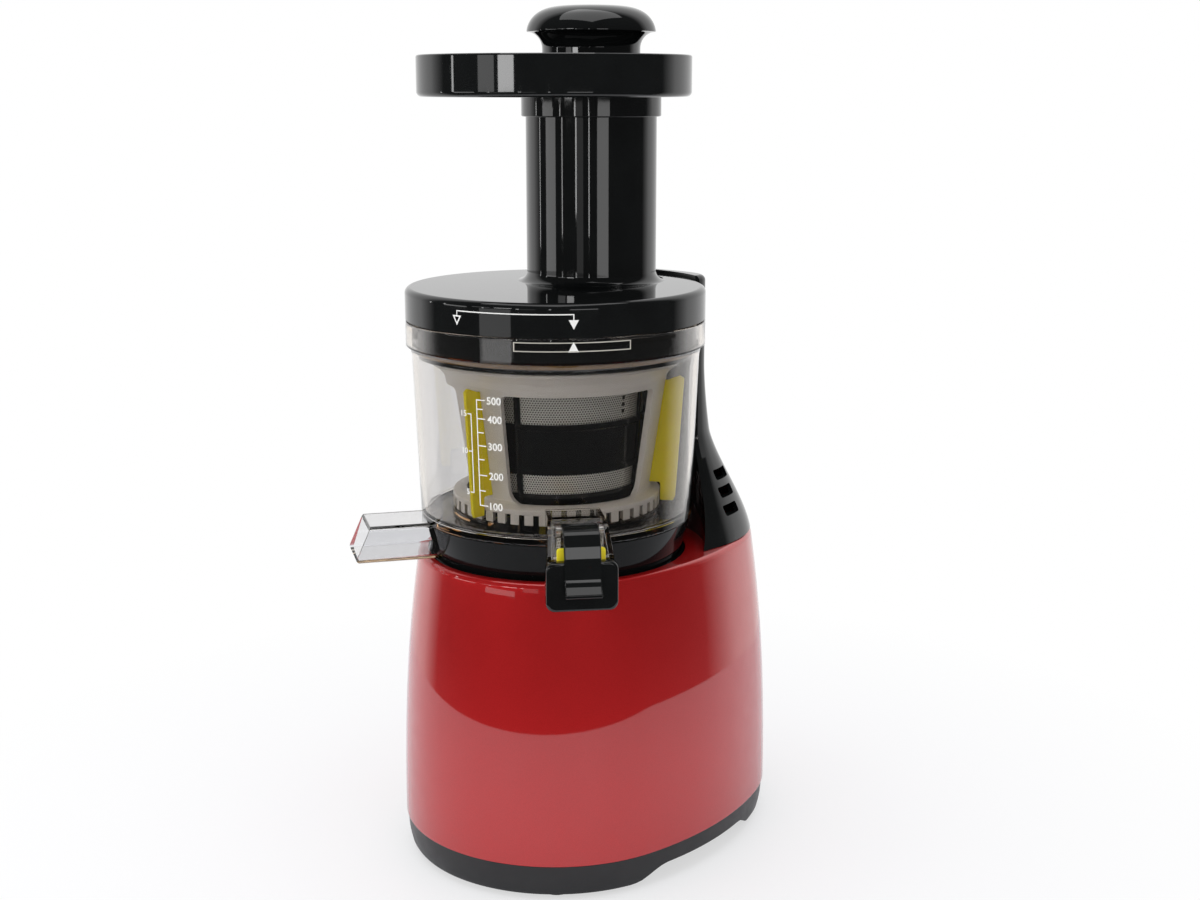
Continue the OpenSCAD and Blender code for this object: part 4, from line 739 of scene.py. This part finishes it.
def bowl():
    outer = [(66.6, FLOOR), (9.13, FLOOR), (9.13, 178), (68, 178), (68.7, 178.3), (69, 179)]
    outer += [(bowl_wall_r(z), z) for z in (200, 220, 240, 258)]
    outer += [(72 + 3 * (1 - math.cos(a)), SHOULDER + 8 * math.sin(a)) for a in quarter()]
    outer += [(LID_R, 277.4), (74.8, 277.85), (74.4, RIM), (73, RIM), (72.6, 277.8)]
    outer += [(72.5, 277.4), (72.5, 266.5)]
    outer += [(69.6 + 2.9 * (1 - math.sin(a)), 259 + 7.5 * math.cos(a)) for a in quarter()]
    outer += [(lerp(66.6, 69.6, (z - 181) / 78), z) for z in (240, 220, 200, 184)]
    outer += [(66.3, 182.2), (65.6, 181.2)]
    o = revolve("juice_vessel", outer, n=168)
    adds = [
        revolve("hub", [(9.13, 163), (12.1, 163), (12.1, 183.4), (9.13, 183.4)], n=64),
        pulp_form("pulp", 0, 0),
        juice_form(0, 6),
    ]
    thirds = (90, 210, 330)
    track = [(48.4, 180), (53.4, 180), (53.4, 183.4), (48.4, 183.4)]
    adds += [revolve("track", track, n=20, arc=(a, a + 60)) for a in thirds]
    post = [(0, 180), (4, 180), (4, 190.5), (0, 190.5)]
    adds += [revolve("post", post, around(36, a), 32) for a in (-15, 165)]
    adds.append(revolve("boss", [(0, 176), (6, 176), (6, 183.4), (0, 183.4)], around(33, 60), 32))
    adds.append(block("inlet", 21, 44, 26, 176, 190.2, PULP))
    boolean(o, adds, "UNION")
    ledge = [(71.2, 274.5), (73, 274.5), (73, 276.5), (71.2, 276.5)]
    for a in thirds:
        boolean(o, revolve("ledge", ledge, n=12, arc=(a, a + 30)), "UNION")
    boolean(o, ears(), "UNION")
    wall_t = 1.8
    boolean(o, [pulp_form("cut", wall_t, 5), block("cut", 23, 42, 22, 165, 210, PULP), juice_form(wall_t, 5)])
    plug = [(0, 159.5), (8, 159.5), (8, 165.2), (0, 165.2)]
    boolean(o, revolve("cut", plug, around(32, PULP), 48))
    return place(o, "bowl", CLEAR, "juice_bowl")


def bowl_foot():
    out = [(68.2, 178), (66.6, 170.8), (65, 164), (62.7, 157.6), (59.6, 151.2), (58.4, 150.3)]
    inside = [
        (50, 150.3), (50, 152.5), (57.1, 152.5), (60.2, 157.6), (62.5, 164), (64.1, 170.8),
        (65.7, 174.5), (60, 176), (60, 178),
    ]
    profile = fillet(out + inside, [0.5, 4, 4, 3, 1, 0.6] + [0.3] * 9, 4)
    o = revolve("bowl_foot", profile, n=160)
    boolean(o, block("cut", 45, 85, 31.6, 160.9, 190.9, PULP))
    return place(o, "bowl", FOOT_BLACK, "bowl_base")


# ---------- press ----------


def mesh_r(z):
    """Inner radius of the strainer's cone at height z."""
    return lerp(40.4, 44.4, (z - 193) / 56)


def strainer():
    out = 0.85  # from the inner to the outer side of the mesh
    flange = [(45.25, 248.5), (47.4, 248.5), (47.4, 260.7), (68.8, 260.7), (68.8, 263), (45.25, 263)]
    o = revolve("strainer_ring", fillet(flange, [0.2, 0.8, 1.5, 0.6, 0.8, 0.8], 4), n=144)
    foot = [(22.3, 190.5), (41.4, 190.5), (42.6, 197), (mesh_r(197) + out, 197), (41.25, 193), (22.3, 193)]
    parts = [revolve("foot", fillet(foot, [0.3, 1, 0.4, 0.1, 0.1, 0.4], 3), n=120)]
    band = [(14, 1.6), (16.5, 1.6), (17.5, 0.9), (35.5, 0.9), (36.5, 1.8), (39, 1.6)]
    ring = [(mesh_r(193 + h) + out + w, 193 + h) for h, w in band + [(39, 0), (14, 0)]]
    parts.append(revolve("band", ring, n=120))
    for k in range(4):
        rib = slab("rib", [(41.25, 193), (42.55, 193), (46.55, 249), (45.25, 249)], 3, 15 + 90 * k)
        parts.append(bevelled(rib, 0.3, 2, 50))
    return place(join(o, *parts), "bowl", BLACK, "strainer_frame")


def mesh_material():
    """Perforated steel: staggered round holes, and a column of slots, in the unrolled coordinates. The holes
    and slots are painted near black: partly the black screw behind them, partly painted shade for the dim
    inside seen through them.
    """
    m, nt, p = nodes_of("steel_mesh")
    uv = nt.nodes.new("ShaderNodeUVMap")
    uv.uv_map = "unrolled"
    sep = nt.nodes.new("ShaderNodeSeparateXYZ")
    link(nt, uv.outputs[0], sep.inputs[0])

    def op(kind, a, b=None):
        return calc(nt, kind, a, b)

    pitch = 1.3
    v = op("DIVIDE", sep.outputs[1], pitch * 0.87)
    row = op("FLOOR", v)
    odd = op("MULTIPLY", op("MODULO", op("ABSOLUTE", row), 2.0), 0.5)
    u = op("ADD", op("DIVIDE", sep.outputs[0], pitch), odd)
    du = op("SUBTRACT", op("FRACT", u), 0.5)
    dv = op("MULTIPLY", op("SUBTRACT", op("FRACT", v), 0.5), 0.87)
    d = op("SQRT", op("ADD", op("MULTIPLY", du, du), op("MULTIPLY", dv, dv)))
    hole = ramp(nt, d, 0.24, 0.32, 0, 1)
    beside = op("ABSOLUTE", op("ADD", sep.outputs[0], math.radians(3.3) * 43))
    along = op("FRACT", op("DIVIDE", op("SUBTRACT", sep.outputs[1], 234.5), 3.35))
    step = op("ABSOLUTE", op("SUBTRACT", along, 0.5))
    inside = op("MULTIPLY", op("LESS_THAN", beside, 1.0), op("LESS_THAN", step, 0.29))
    reach = op("ABSOLUTE", op("SUBTRACT", sep.outputs[1], 241.2))
    inside = op("MULTIPLY", inside, op("LESS_THAN", reach, 6.7))
    hole = op("MULTIPLY", hole, op("SUBTRACT", 1.0, inside))
    # holes and slots near black: the black screw behind them, and painted shade for the dim inside seen
    # through them
    link(nt, mix(nt, hole, (0.012, 0.012, 0.012), (0.88, 0.86, 0.79)), p.inputs["Base Color"])
    link(nt, ramp(nt, hole, 0, 1, 0, 0.6), p.inputs["Metallic"])
    link(nt, ramp(nt, hole, 0, 1, 0.9, 0.3), p.inputs["Roughness"])
    bump(nt, p, hole, 0.4, 0.2)
    return m


def unroll(o, r):
    """Lays the piece's surface out flat: distance round the bowl's axis at radius r, and height."""
    uv = o.data.uv_layers.new(name="unrolled")
    for poly in o.data.polygons:
        base = None
        for li in poly.loop_indices:
            v = o.data.vertices[o.data.loops[li].vertex_index].co
            a = math.atan2(v.y / MM - AXIS_Y, v.x / MM)
            if base is None:
                base = a
            elif a - base > math.pi:
                a -= 2 * math.pi
            elif base - a > math.pi:
                a += 2 * math.pi
            uv.data[li].uv = (a * r, v.z / MM)


def mesh_sleeve():
    o = revolve("strainer_sleeve", [(40.4, 193.15), (41.2, 193.15), (45.6, 255), (44.8, 255)], n=144)
    unroll(o, 43)
    return place(o, "bowl", mesh_material(), "strainer_mesh")


RIBS = [-95.5, 24.5, 144.5]  # directions of the wiping frame's three posts
BLADE_TURN = 3.5  # from a post's direction to its blade
TEETH = 46


def peg_half(r):
    """Half angle of a peg of the wiping frame's inner gear at radius r: what its tooth gaps leave."""
    pressure = math.radians(20)
    lean_at = math.acos(min(1, 50.6 * math.cos(pressure) / r))
    grown = 0.8 / (TEETH * 2.2) + math.tan(pressure) - math.tan(lean_at) + lean_at
    return 180 / TEETH - (90 / TEETH + math.degrees(grown) - 20)


def window(a0, a1, low, high, foot, head):
    """Cutter for an opening from angle a0 to a1, with corners of radius foot below and head above."""
    mm = math.degrees(1 / 51)  # the angle of 1 mm at the frame's middle radius
    quarters = [1 - math.cos(math.radians(k * 11.25)) for k in range(9)]
    at = sorted({round(v * r, 4) for v in quarters for r in (foot, head)})
    span = (a1 - a0) / mm
    places = at + [lerp(foot, span - foot, k / 24) for k in range(1, 24)] + [span - v for v in at[::-1]]
    loops = []
    for v in places:
        e = min(v, span - v)
        zl = low + foot - math.sqrt(max(0, foot ** 2 - (foot - e) ** 2)) if e < foot else low
        zh = high - head + math.sqrt(max(0, head ** 2 - (head - e) ** 2)) if e < head else high
        corners = [(40, 0, zl), (66, 0, zl), (66, 0, zh), (40, 0, zh)]
        loops.append(across(corners, a0 + v * mm))
    return loft("cut", loops)


def frame_of_brush():
    profile = [
        (52.8, 188.7), (52.8, 191.3), (48.4, 192.7), (47.6, 193.7), (56, 250.2), (57.6, 253.6),
        (60, 256.4), (62, 257.8), (62, 259.6), (60.4, 259.6), (55.4, 255.0), (53.3, 251.2),
        (44.9, 193.7), (46.6, 191.1), (46.6, 188.7),
    ]
    rr = [0.5, 0.8, 1, 1, 3, 3, 2, 0.5, 0.5, 0.5, 3, 3, 1, 0.5, 0.3]
    o = revolve("wiping_frame", fillet(profile, rr, 4), n=144)
    boolean(o, [window(a + 16.5, a + 103.5, 192.5, 247.2, 7, 3) for a in RIBS])
    bevelled(o, 0.5, 2, 60)
    boolean(o, [block("cut", 42, 62, 2, 195.7, 248.2, a + BLADE_TURN) for a in RIBS])
    pegs = []
    radii = (48.75, 49.7, 50.6, 51.6, 52.75)
    for k in range(TEETH):
        a = 60 + k * 360 / TEETH
        ring = [(r, a - peg_half(r)) for r in radii] + [(r, a + peg_half(r)) for r in radii[::-1]]
        peg = prism("peg", [around(r, b) for r, b in ring], 183.7, 188.9)
        pegs.append(bevelled(peg, 0.3, 2, 50))
    join(o, *pegs)
    return place(o, "brush", CREAM, "brush_frame")


def blades():
    side = [
        (44.9, 195.8), (53.4, 195.8), (53.4, 186.3), (60, 186.3), (61, 188.7), (65, 249.2),
        (63, 250.6), (56.6, 248.1), (52.4, 248.1),
    ]
    parts = []
    for a in RIBS:
        o = slab("blade", fillet(side, [0, 1, 0.5, 0.8, 1, 1, 1, 1, 0], 3), 1.9, a + BLADE_TURN)
        parts.append(bevelled(o, 0.5, 2, 50))
    return place(join(parts[0], *parts[1:]), "brush", YELLOW, "wiper_blades")


def screw():
    z0, z1 = 196.2, 264.0
    n, rows, pitch = 96, 110, 34
    loops = []
    for i in range(rows + 1):
        z = lerp(z0, z1, i / rows)
        core = lerp(33, 15, ((z - z0) / (z1 - z0)) ** 0.85)
        thread = mesh_r(min(z, 249)) - 1.2 - max(0, z - 243) * 0.9
        loop = []
        for k in range(n):
            a = 360 * k / n
            ridge = max(0, math.cos(math.radians(a - 360 * (z - z0) / pitch))) ** 10
            loop.append((*around(core + max(0, thread - core) * ridge, a), z))
        loops.append(loop)
    o = loft("press_screw", loops, angle=60)
    boolean(o, revolve("cut", [(0, 190), (11.05, 190), (11.05, 204.2), (0, 204.2)], n=48))
    join(o, revolve("pin", [(0, 262), (4, 262), (4, 287.6), (3.5, 288.1), (0, 288.1)], n=40))
    return place(o, "auger", SATIN, "auger_screw")


# ---------- juice cap ----------


def cap():
    shape = rounded_rect(33.5, 23.5, 4, 7)
    depth = [(96.8, 0.35), (97.1, 0.1), (97.5, 0), (101.9, 0), (102.7, 0.25), (103.2, 0.7), (103.4, 1.4)]
    loops = []
    for r, i in depth:
        ring = [(r, t * (1 - i / 16.75), 168.25 + z * (1 - i / 11.75)) for t, z in shape]
        loops.append(across(ring))
    o = loft("juice_flap", loops)
    x, z = PIVOT
    side = [
        (x, z + 2.8), (x + 5, z + 2.7), (x + 9.3, z + 0.4), (x + 11.9, z - 4.2), (x + 13.4, z - 10.2),
        (x + 14.3, z - 20), (x + 15, z - 22.4), (x + 18.6, z - 26), (x + 18.6, z - 27.9),
        (x + 14, z - 26.6), (x + 11.8, z - 23.4), (x + 11, z - 10.8), (x + 9.2, z - 5.2),
        (x + 6.8, z - 1.8), (x + 3.4, z - 0.4), (x, z - 2.8),
    ]
    lever = slab("lever", fillet(side, [0, 5, 6, 8, 12, 6, 4, 0.8, 0.6, 3, 3, 8, 5, 4, 3, 0], 5), 17, JUICE)
    bevelled(lever, 0.7, 3, 50)
    ring = [(x + u, z + v) for u, v in (polar(2.8, a) for a in range(0, 360, 9))]
    barrel = bevelled(slab("barrel", ring, 17, JUICE), 0.3, 2, 60)
    boolean(o, [lever, barrel], "UNION")
    recess = ((-14.5, 160.5), (14.5, 160.5), (14.5, 184), (-14.5, 184))
    boolean(o, loft("cut", [across([(r, t, z) for t, z in recess]) for r in (95.8, 99.6)]))
    return place(o, "cap", BLACK, "juice_cap")


def flap_seal():
    def pad(r0, r1, w, z0, z1, edge):
        ring = [(t, (z0 + z1) / 2 + z) for t, z in rounded_rect(w, z1 - z0, 1.5, 4)]
        return bevelled(loft("pad", [across([(r, t, z) for t, z in ring]) for r in (r0, r1)]), edge, 2, 50)

    o = pad(96.9, 99.4, 28.6, 160.7, 179.3, 0.4)
    join(o, pad(97.1, 98.9, 22.6, 178.5, 185.5, 0.5), pad(95.1, 97.7, 26, 161.1, 178.1, 0.5))
    return place(o, "cap", YELLOW, "cap_seal")


# ---------- lid, chute, tray and pusher ----------

TUBE_Y = AXIS_Y + 29  # the chute's axis
TUBE_R, BORE_R, TUBE_TOP = 33.0, 30.2, 386.0


def about_chute(name, profile):
    return revolve(name, profile, (0, TUBE_Y), n=128)


def lid():
    profile = [(0, TOP), (0, 291.5), (65.3, 291.5), (68.3, 288.5), (68.3, 266), (70.9, 266)]
    profile += [(70.9, 278.3), (74.6, 278.3), (LID_R, 278.7)]
    profile += [(72 + 3 * math.cos(a), 291.5 + 3 * math.sin(a)) for a in [0] + quarter()]
    o = revolve("lid_shell", profile, n=168)
    tube = [(20, 293), (38, 293)]
    tube += [(38 - 5 * math.sin(a), TOP + 5 * (1 - math.cos(a))) for a in [0] + quarter()]
    tube += [(TUBE_R, 320), (TUBE_R, 350), (TUBE_R, 385.4), (32.8, 385.85), (32.4, TUBE_TOP), (20, TUBE_TOP)]
    boolean(o, about_chute("tube", tube), "UNION")
    boolean(o, revolve("boss", [(0, 277.5), (8.4, 277.5), (8.8, 277.9), (8.8, 292), (0, 292)], n=48), "UNION")
    bore = [(0, TOP), (BORE_R, TOP), (BORE_R, 385.2), (BORE_R + 0.5, 385.9), (BORE_R + 0.7, 388), (0, 388)]
    boolean(o, about_chute("cut", bore))
    feed = about_chute("feed", [(0, 290), (BORE_R, 290), (BORE_R, 296), (0, 296)])
    boolean(feed, revolve("cut", [(8.8, 289), (43, 289), (43, 297), (8.8, 297)], n=128), "INTERSECT")
    boolean(o, feed)
    boolean(o, revolve("cut", [(0, 276), (6.05, 276), (6.05, 288.5), (0, 288.5)], n=40))
    tab = [(70.4, 270.5), (72.1, 270.5), (72.1, 274), (70.4, 274)]
    for a in (92, 212, 332):
        boolean(o, revolve("tab", tab, n=12, arc=(a, a + 26)), "UNION")
    return place(o, "lid", BLACK, "lid")


def gasket():
    profile = fillet([(67.3, 263.3), (70, 263.3), (70, 266), (67.3, 266)], 0.5, 3)
    return place(revolve("lid_ring", profile, n=144), "lid", AMBER, "lid_gasket")


def hopper():
    low = 386.3
    profile = [(0, low)]
    profile += [(64.5 + 2.5 * math.sin(a), low + 2.5 * (1 - math.cos(a))) for a in [0] + quarter()]
    profile += [(67, 405), (66.8, 405.6), (66.3, 405.95), (65.8, 405.95), (65.3, 405.6), (65, 405)]
    profile += [(65 - 2.5 * (1 - math.cos(a)), 391.2 - 2.5 * math.sin(a)) for a in quarter()]
    profile += [(0, 388.7)]
    o = revolve("tray_dish", profile, n=168)
    collar = fillet([(25, 376.5), (35.2, 376.5), (35.2, 387.3), (25, 387.3)], [0, 0.7, 0, 0], 4)
    boolean(o, about_chute("collar", collar), "UNION")
    boolean(o, about_chute("cut", [(0, 370), (33.3, 370), (33.3, low), (0, low)]))
    boolean(o, about_chute("cut", [(0, 380), (BORE_R, 380), (BORE_R, 410), (0, 410)]))
    return place(o, "hopper", BLACK, "hopper_tray")


def plunger():
    r, low, neck, lip = 29.7, 294.8, 24.5, 417.6
    profile = [(0, low), (r - 1.2, low), (r - 0.3, low + 0.4), (r, low + 1.2), (r, 330), (r, 370), (r, 398)]
    profile += [(r - 1, 400), (neck + 0.8, 402.6), (neck, 403.6), (neck, 409.6)]
    profile += [(neck + (32 - neck) * (1 - math.cos(a)), 409.6 + 8 * math.sin(a)) for a in quarter(10)]
    for i in range(1, 25):
        a = math.radians(90 * i / 24)
        knob_r = 32.2 * max(math.cos(a), 0) ** 0.45 if i < 24 else 0
        profile.append((knob_r, lip + 12.8 * math.sin(a) ** 1.15))
    o = revolve("pusher_body", profile, (0, TUBE_Y), n=144)
    return place(o, "pusher", BLACK, "pusher")


# ---------- back of the base ----------


def turned(name, profile, z, n=64):
    """A solid of revolution about a level axis to the rear at height z; profile in radius and y."""
    turns = [2 * math.pi * k / n for k in range(n)]
    loops = [[(r * math.cos(a), y, z + r * math.sin(a)) for a in turns] for r, y in profile]
    return loft(name, loops, wrap=True)


def gland():
    w = rear_wall(GLAND_Z)
    outer = [(6.5, w - 5), (6.5, w + 0.2), (8, w + 0.2), (8, w + 1.3), (7.5, w + 1.8), (6.3, w + 1.8)]
    for k in range(4):
        y = w + 2.6 + 1.8 * k
        r = 6.2 - 1.3 * (y - w - 1) / 9
        outer += [(r, y), (r - 0.7, y + 0.25), (r - 0.8, y + 0.75), (r - 0.15, y + 1)]
    outer += [(5.0, w + 9.6), (4.6, w + 10), (3.9, w + 10), (3.6, w + 9.7)]
    o = turned("gland", [(3.6, w - 8), (8, w - 8), (8, w - 5)] + outer, GLAND_Z)
    return place(o, "base", RUBBER, "cord_gland")


def bezel():
    y = rear_wall(SWITCH_Z)
    rows = [  # width, height, corner radius, depth
        (25, 18, 1, y - 12), (25, 18, 1, y + 2.3), (25.7, 18.7, 1.3, y + 2.65), (34.2, 27.2, 1.8, y + 2.65),
        (35, 28, 2, y + 2.25), (35, 28, 2, y + 1.15), (30.4, 23.4, 1, y + 1.15), (30.4, 23.4, 1, y - 16),
    ]
    o = level("switch_frame", [(rounded_rect(w, h, r, 5), yy) for w, h, r, yy in rows], SWITCH_Z)
    return place(o, "base", SATIN, "switch_bezel")


def rocker():
    y = rear_wall(SWITCH_Z) - 3
    dished = [(-7.5, -4), (7.5, -4), (7.5, 5.4), (3.75, 4.5), (0, 4.2), (-3.75, 4.5), (-7.5, 5.4)]
    side = fillet(dished, [2, 2, 0.8, 4, 4, 4, 0.8], 5)

    def key(name, ring, half):
        return loft(name, [[(x, y + v, SWITCH_Z + u) for u, v in ring] for x in (-half, half)])

    o = bevelled(key("switch_key", side, 12.2), 0.6, 3, 50)
    ring = [polar(1.45, a) for a in range(0, 360, 15)]
    boolean(o, key("pin", ring, 13.7), "UNION")
    return place(o, "rocker", BLACK, "power_rocker")


# ---------- plain printed marks ----------


def wall(z):
    """Outer radius of the bowl or the lid at height z."""
    return bowl_wall_r(z) if z < SHOULDER else LID_R


SUNK, PROUD = -0.02, 0.06  # the back and the face of a printed mark, off the wall


def bar(a0, a1, z0, z1):
    """A thin printed bar on the wall, between two angles and two heights."""
    profile = [(wall(z) + d, z) for z, d in ((z0, SUNK), (z0, PROUD), (z1, PROUD), (z1, SUNK))]
    return revolve("bar", profile, n=max(1, int(abs(a1 - a0) / 2)), arc=(a0, a1))


def tick(a0, a1, z):
    return bar(a0, a1, z - 0.25, z + 0.25)


def printed(points):
    """A thin printed plate on the wall; points in degrees and height."""
    return loft("plate", [[(*around(wall(z) + d, a), z) for a, z in points] for d in (SUNK, PROUD)])


def number(text, a, z, height=3.7, end=False):
    """A plain number on the wall, its foot at height z, starting (or ending) at angle a."""
    curve = bpy.data.curves.new("number", "FONT")
    curve.body = text
    curve.resolution_u = 3
    curve.offset = 0.015
    t = add("number", curve)
    bpy.context.view_layer.update()
    me = result(t)
    bpy.data.objects.remove(t)
    xs = [v.co.x for v in me.vertices]
    ys = [v.co.y for v in me.vertices]
    k = height / (max(ys) - min(ys))
    shift = -(max(xs) - min(xs)) * k if end else 0
    for v in me.vertices:
        h = z + (v.co.y - min(ys)) * k
        r = wall(h) + 0.05
        x, y = around(r, a + math.degrees(((v.co.x - min(xs)) * k + shift) / r))
        v.co = (x * MM, y * MM, h * MM)
    return add("number", me)


def scale():
    """The bowl's two scales: lines, ticks and plain numbers."""
    parts = [bar(-82.1, -81.7, 195.95, 247.85), bar(-84.9, -84.5, 201.85, 240.65)]
    for n, z in (("500", 247.6), ("400", 238.6), ("300", 225.5), ("200", 211.1), ("100", 196.2)):
        parts += [tick(-81.7, -78.3, z), number(n, -77.4, z - 1.8)]
    parts += [tick(-81.7, -79.2, z) for z in (243.2, 231.9, 218.8, 203.5)]
    for n, z in (("15", 240.4), ("10", 222.3), ("5", 202.1)):
        parts += [tick(-86.3, -84.9, z), number(n, -86.9, z - 1.4, 2.9, True)]
    o = join(parts[0], *parts[1:])
    o.name = "bowl_scale"
    return place(o, "bowl", WHITE)


def rim_outline():
    """The moulded rectangle on the bowl's rim."""
    parts = [bar(-65.6, -22.8, z, z + 0.45) for z in (272.1, 276.1)]
    parts += [bar(a, a + 0.4, 272.3, 276.4) for a in (-65.6, -23.2)]
    o = join(parts[0], *parts[1:])
    o.name = "rim_outline"
    place(o, "bowl", FROST)


def marks():
    """The bowl's triangle, and the lid's two triangles with the line that joins them."""
    up = printed([(-46.1, 272.0), (-42.3, 272.0), (-44.2, 276.8)])
    up.name = "bowl_mark"
    place(up, "bowl", WHITE)
    down = printed([(-45.9, 286.9), (-44.1, 282.5), (-42.3, 286.9)])
    hollow = []
    for k, d in ((1, SUNK), (1, PROUD), (0.58, PROUD), (0.58, SUNK)):
        tri = [(-88.2 + 1.95 * k * sx, 285.85 + sz * k) for sx, sz in ((-1, 1.45), (0, -3.2), (1, 1.45))]
        hollow.append([(*around(LID_R + d, a), z) for a, z in tri])
    line = [bar(-88.35, -43.9, 289.2, 289.7), bar(-88.35, -88.0, 287.2, 289.3)]
    line.append(bar(-44.3, -43.9, 286.8, 289.3))
    o = join(down, loft("ring", hollow, wrap=True), *line)
    o.name = "lid_marks"
    place(o, "lid", WHITE)


for make in (
    housing, tray, feet, column, bowl, bowl_foot, strainer, mesh_sleeve, frame_of_brush, blades, screw,
    cap, flap_seal, lid, gasket, hopper, plunger, gland, bezel, rocker, scale, rim_outline, marks,
):
    make()

# ---------- floor, world and lights ----------


def straight(nt, path):
    """1 for what is seen straight or through clear plastic, 0 for what is mirrored or lights the object."""
    value = path.outputs["Is Camera Ray"]
    steps = (("MAXIMUM", "Is Transmission Ray"), ("SUBTRACT", "Diffuse Depth"), ("SUBTRACT", "Glossy Depth"))
    for kind, name in steps:
        value = calc(nt, kind, value, path.outputs[name], True)
    return value


def floor():
    """A white disc, in metres. Seen straight it glows in part near the object, and wholly away from it."""
    radius = 0.42
    m, nt, p = nodes_of("floor")
    link(nt, mix(nt, noise(nt, 3, 3), (0.91, 0.92, 0.96), (0.92, 0.93, 0.97)), p.inputs["Base Color"])
    fill(p, {"Roughness": 0.6})
    glow = nt.nodes.new("ShaderNodeEmission")
    fill(glow, {"Strength": 1.0})
    co = nt.nodes.new("ShaderNodeTexCoord")
    far = nt.nodes.new("ShaderNodeVectorMath")
    far.operation = "LENGTH"
    link(nt, co.outputs["Object"], far.inputs[0])
    seen = straight(nt, nt.nodes.new("ShaderNodeLightPath"))
    share = calc(nt, "MULTIPLY", ramp(nt, far.outputs["Value"], 0.16, 0.40, 0.6, 1.0), seen)
    both = mixed(nt, share, p.outputs[0], glow.outputs[0])
    link(nt, both, nt.nodes["Material Output"].inputs["Surface"])
    me = bpy.data.meshes.new("floor")
    me.from_pydata([(*polar(radius, a), 0) for a in range(0, 360, 5)], [], [list(range(72))])
    me.materials.append(m)
    add("floor", me)


def world():
    """White for the camera and through clear plastic, soft light for the object. Reflections see a
    white wall behind the object and a dim room in front of it."""
    w = bpy.data.worlds.new("world")
    bpy.context.scene.world = w
    w.use_nodes = True
    nt = w.node_tree
    nt.nodes.clear()
    out = nt.nodes.new("ShaderNodeOutputWorld")
    white, soft, room = (nt.nodes.new("ShaderNodeBackground") for _ in range(3))
    for n, strength in ((white, 1.0), (soft, 0.70), (room, 1.0)):
        fill(n, {"Color": (1, 1, 1, 1), "Strength": strength})
    co = nt.nodes.new("ShaderNodeTexCoord")
    dot = nt.nodes.new("ShaderNodeVectorMath")
    dot.operation = "DOT_PRODUCT"
    fill(dot, {1: (*VIEW, 0)})
    link(nt, co.outputs["Generated"], dot.inputs[0])
    link(nt, ramp(nt, dot.outputs["Value"], 0.2, 0.5, 0.06, 1.0), room.inputs["Strength"])
    path = nt.nodes.new("ShaderNodeLightPath")
    lit = mixed(nt, path.outputs["Is Glossy Ray"], soft.outputs[0], room.outputs[0])
    link(nt, mixed(nt, straight(nt, path), lit, white.outputs[0]), out.inputs["Surface"])


def softbox(name, at, size, power, aim=(0, 0, 0.2)):
    """An area light at a place, aimed at a point, in metres and watts."""
    data = bpy.data.lights.new(name, "AREA")
    data.shape = "RECTANGLE"
    data.size, data.size_y = size
    data.energy = power
    o = add(name, data)
    o.location = at
    o.rotation_euler = (Vector(aim) - Vector(at)).to_track_quat("-Z", "Y").to_euler()
    o.visible_camera = False


def strip(name, turn, width, z0, z1, radiance):
    """An upright light, 0.8 m from the bowl's axis, turn degrees to the right of the camera."""
    x, y = polar(0.8, VIEW_TURN + turn)
    middle, height = (z0 + z1) / 2, z1 - z0
    at, aim = (x, AXIS_Y * MM + y, middle), (0, AXIS_Y * MM, middle)
    softbox(name, at, (width, height), math.pi * width * height * radiance, aim)


floor()
world()
softbox("overhead", (0.0, -0.1, 1.5), (1.2, 1.2), 8)
STRIPS = (  # turn, width, bottom, top, radiance; the last three are seen in the tray
    (-103, 0.02, 0.24, 0.375, 6.0), (-77, 0.30, 0.205, 0.375, 2.4), (-53, 0.02, 0.25, 0.375, 7.0),
    (-44, 0.34, 0.13, 0.205, 1.1), (-27, 0.03, 0.27, 0.375, 8.0), (-20, 0.16, 0.205, 0.375, 0.5),
    (-4, 0.02, 0.25, 0.375, 8.0), (20, 0.28, 0.21, 0.375, 2.4),
    (-88, 0.03, 0.38, 0.46, 6.0), (-55, 0.20, 0.38, 0.46, 1.8), (-38, 0.18, 0.38, 0.46, 9.0),
)
for i, numbers in enumerate(STRIPS):
    strip("strip_%d" % i, *numbers)
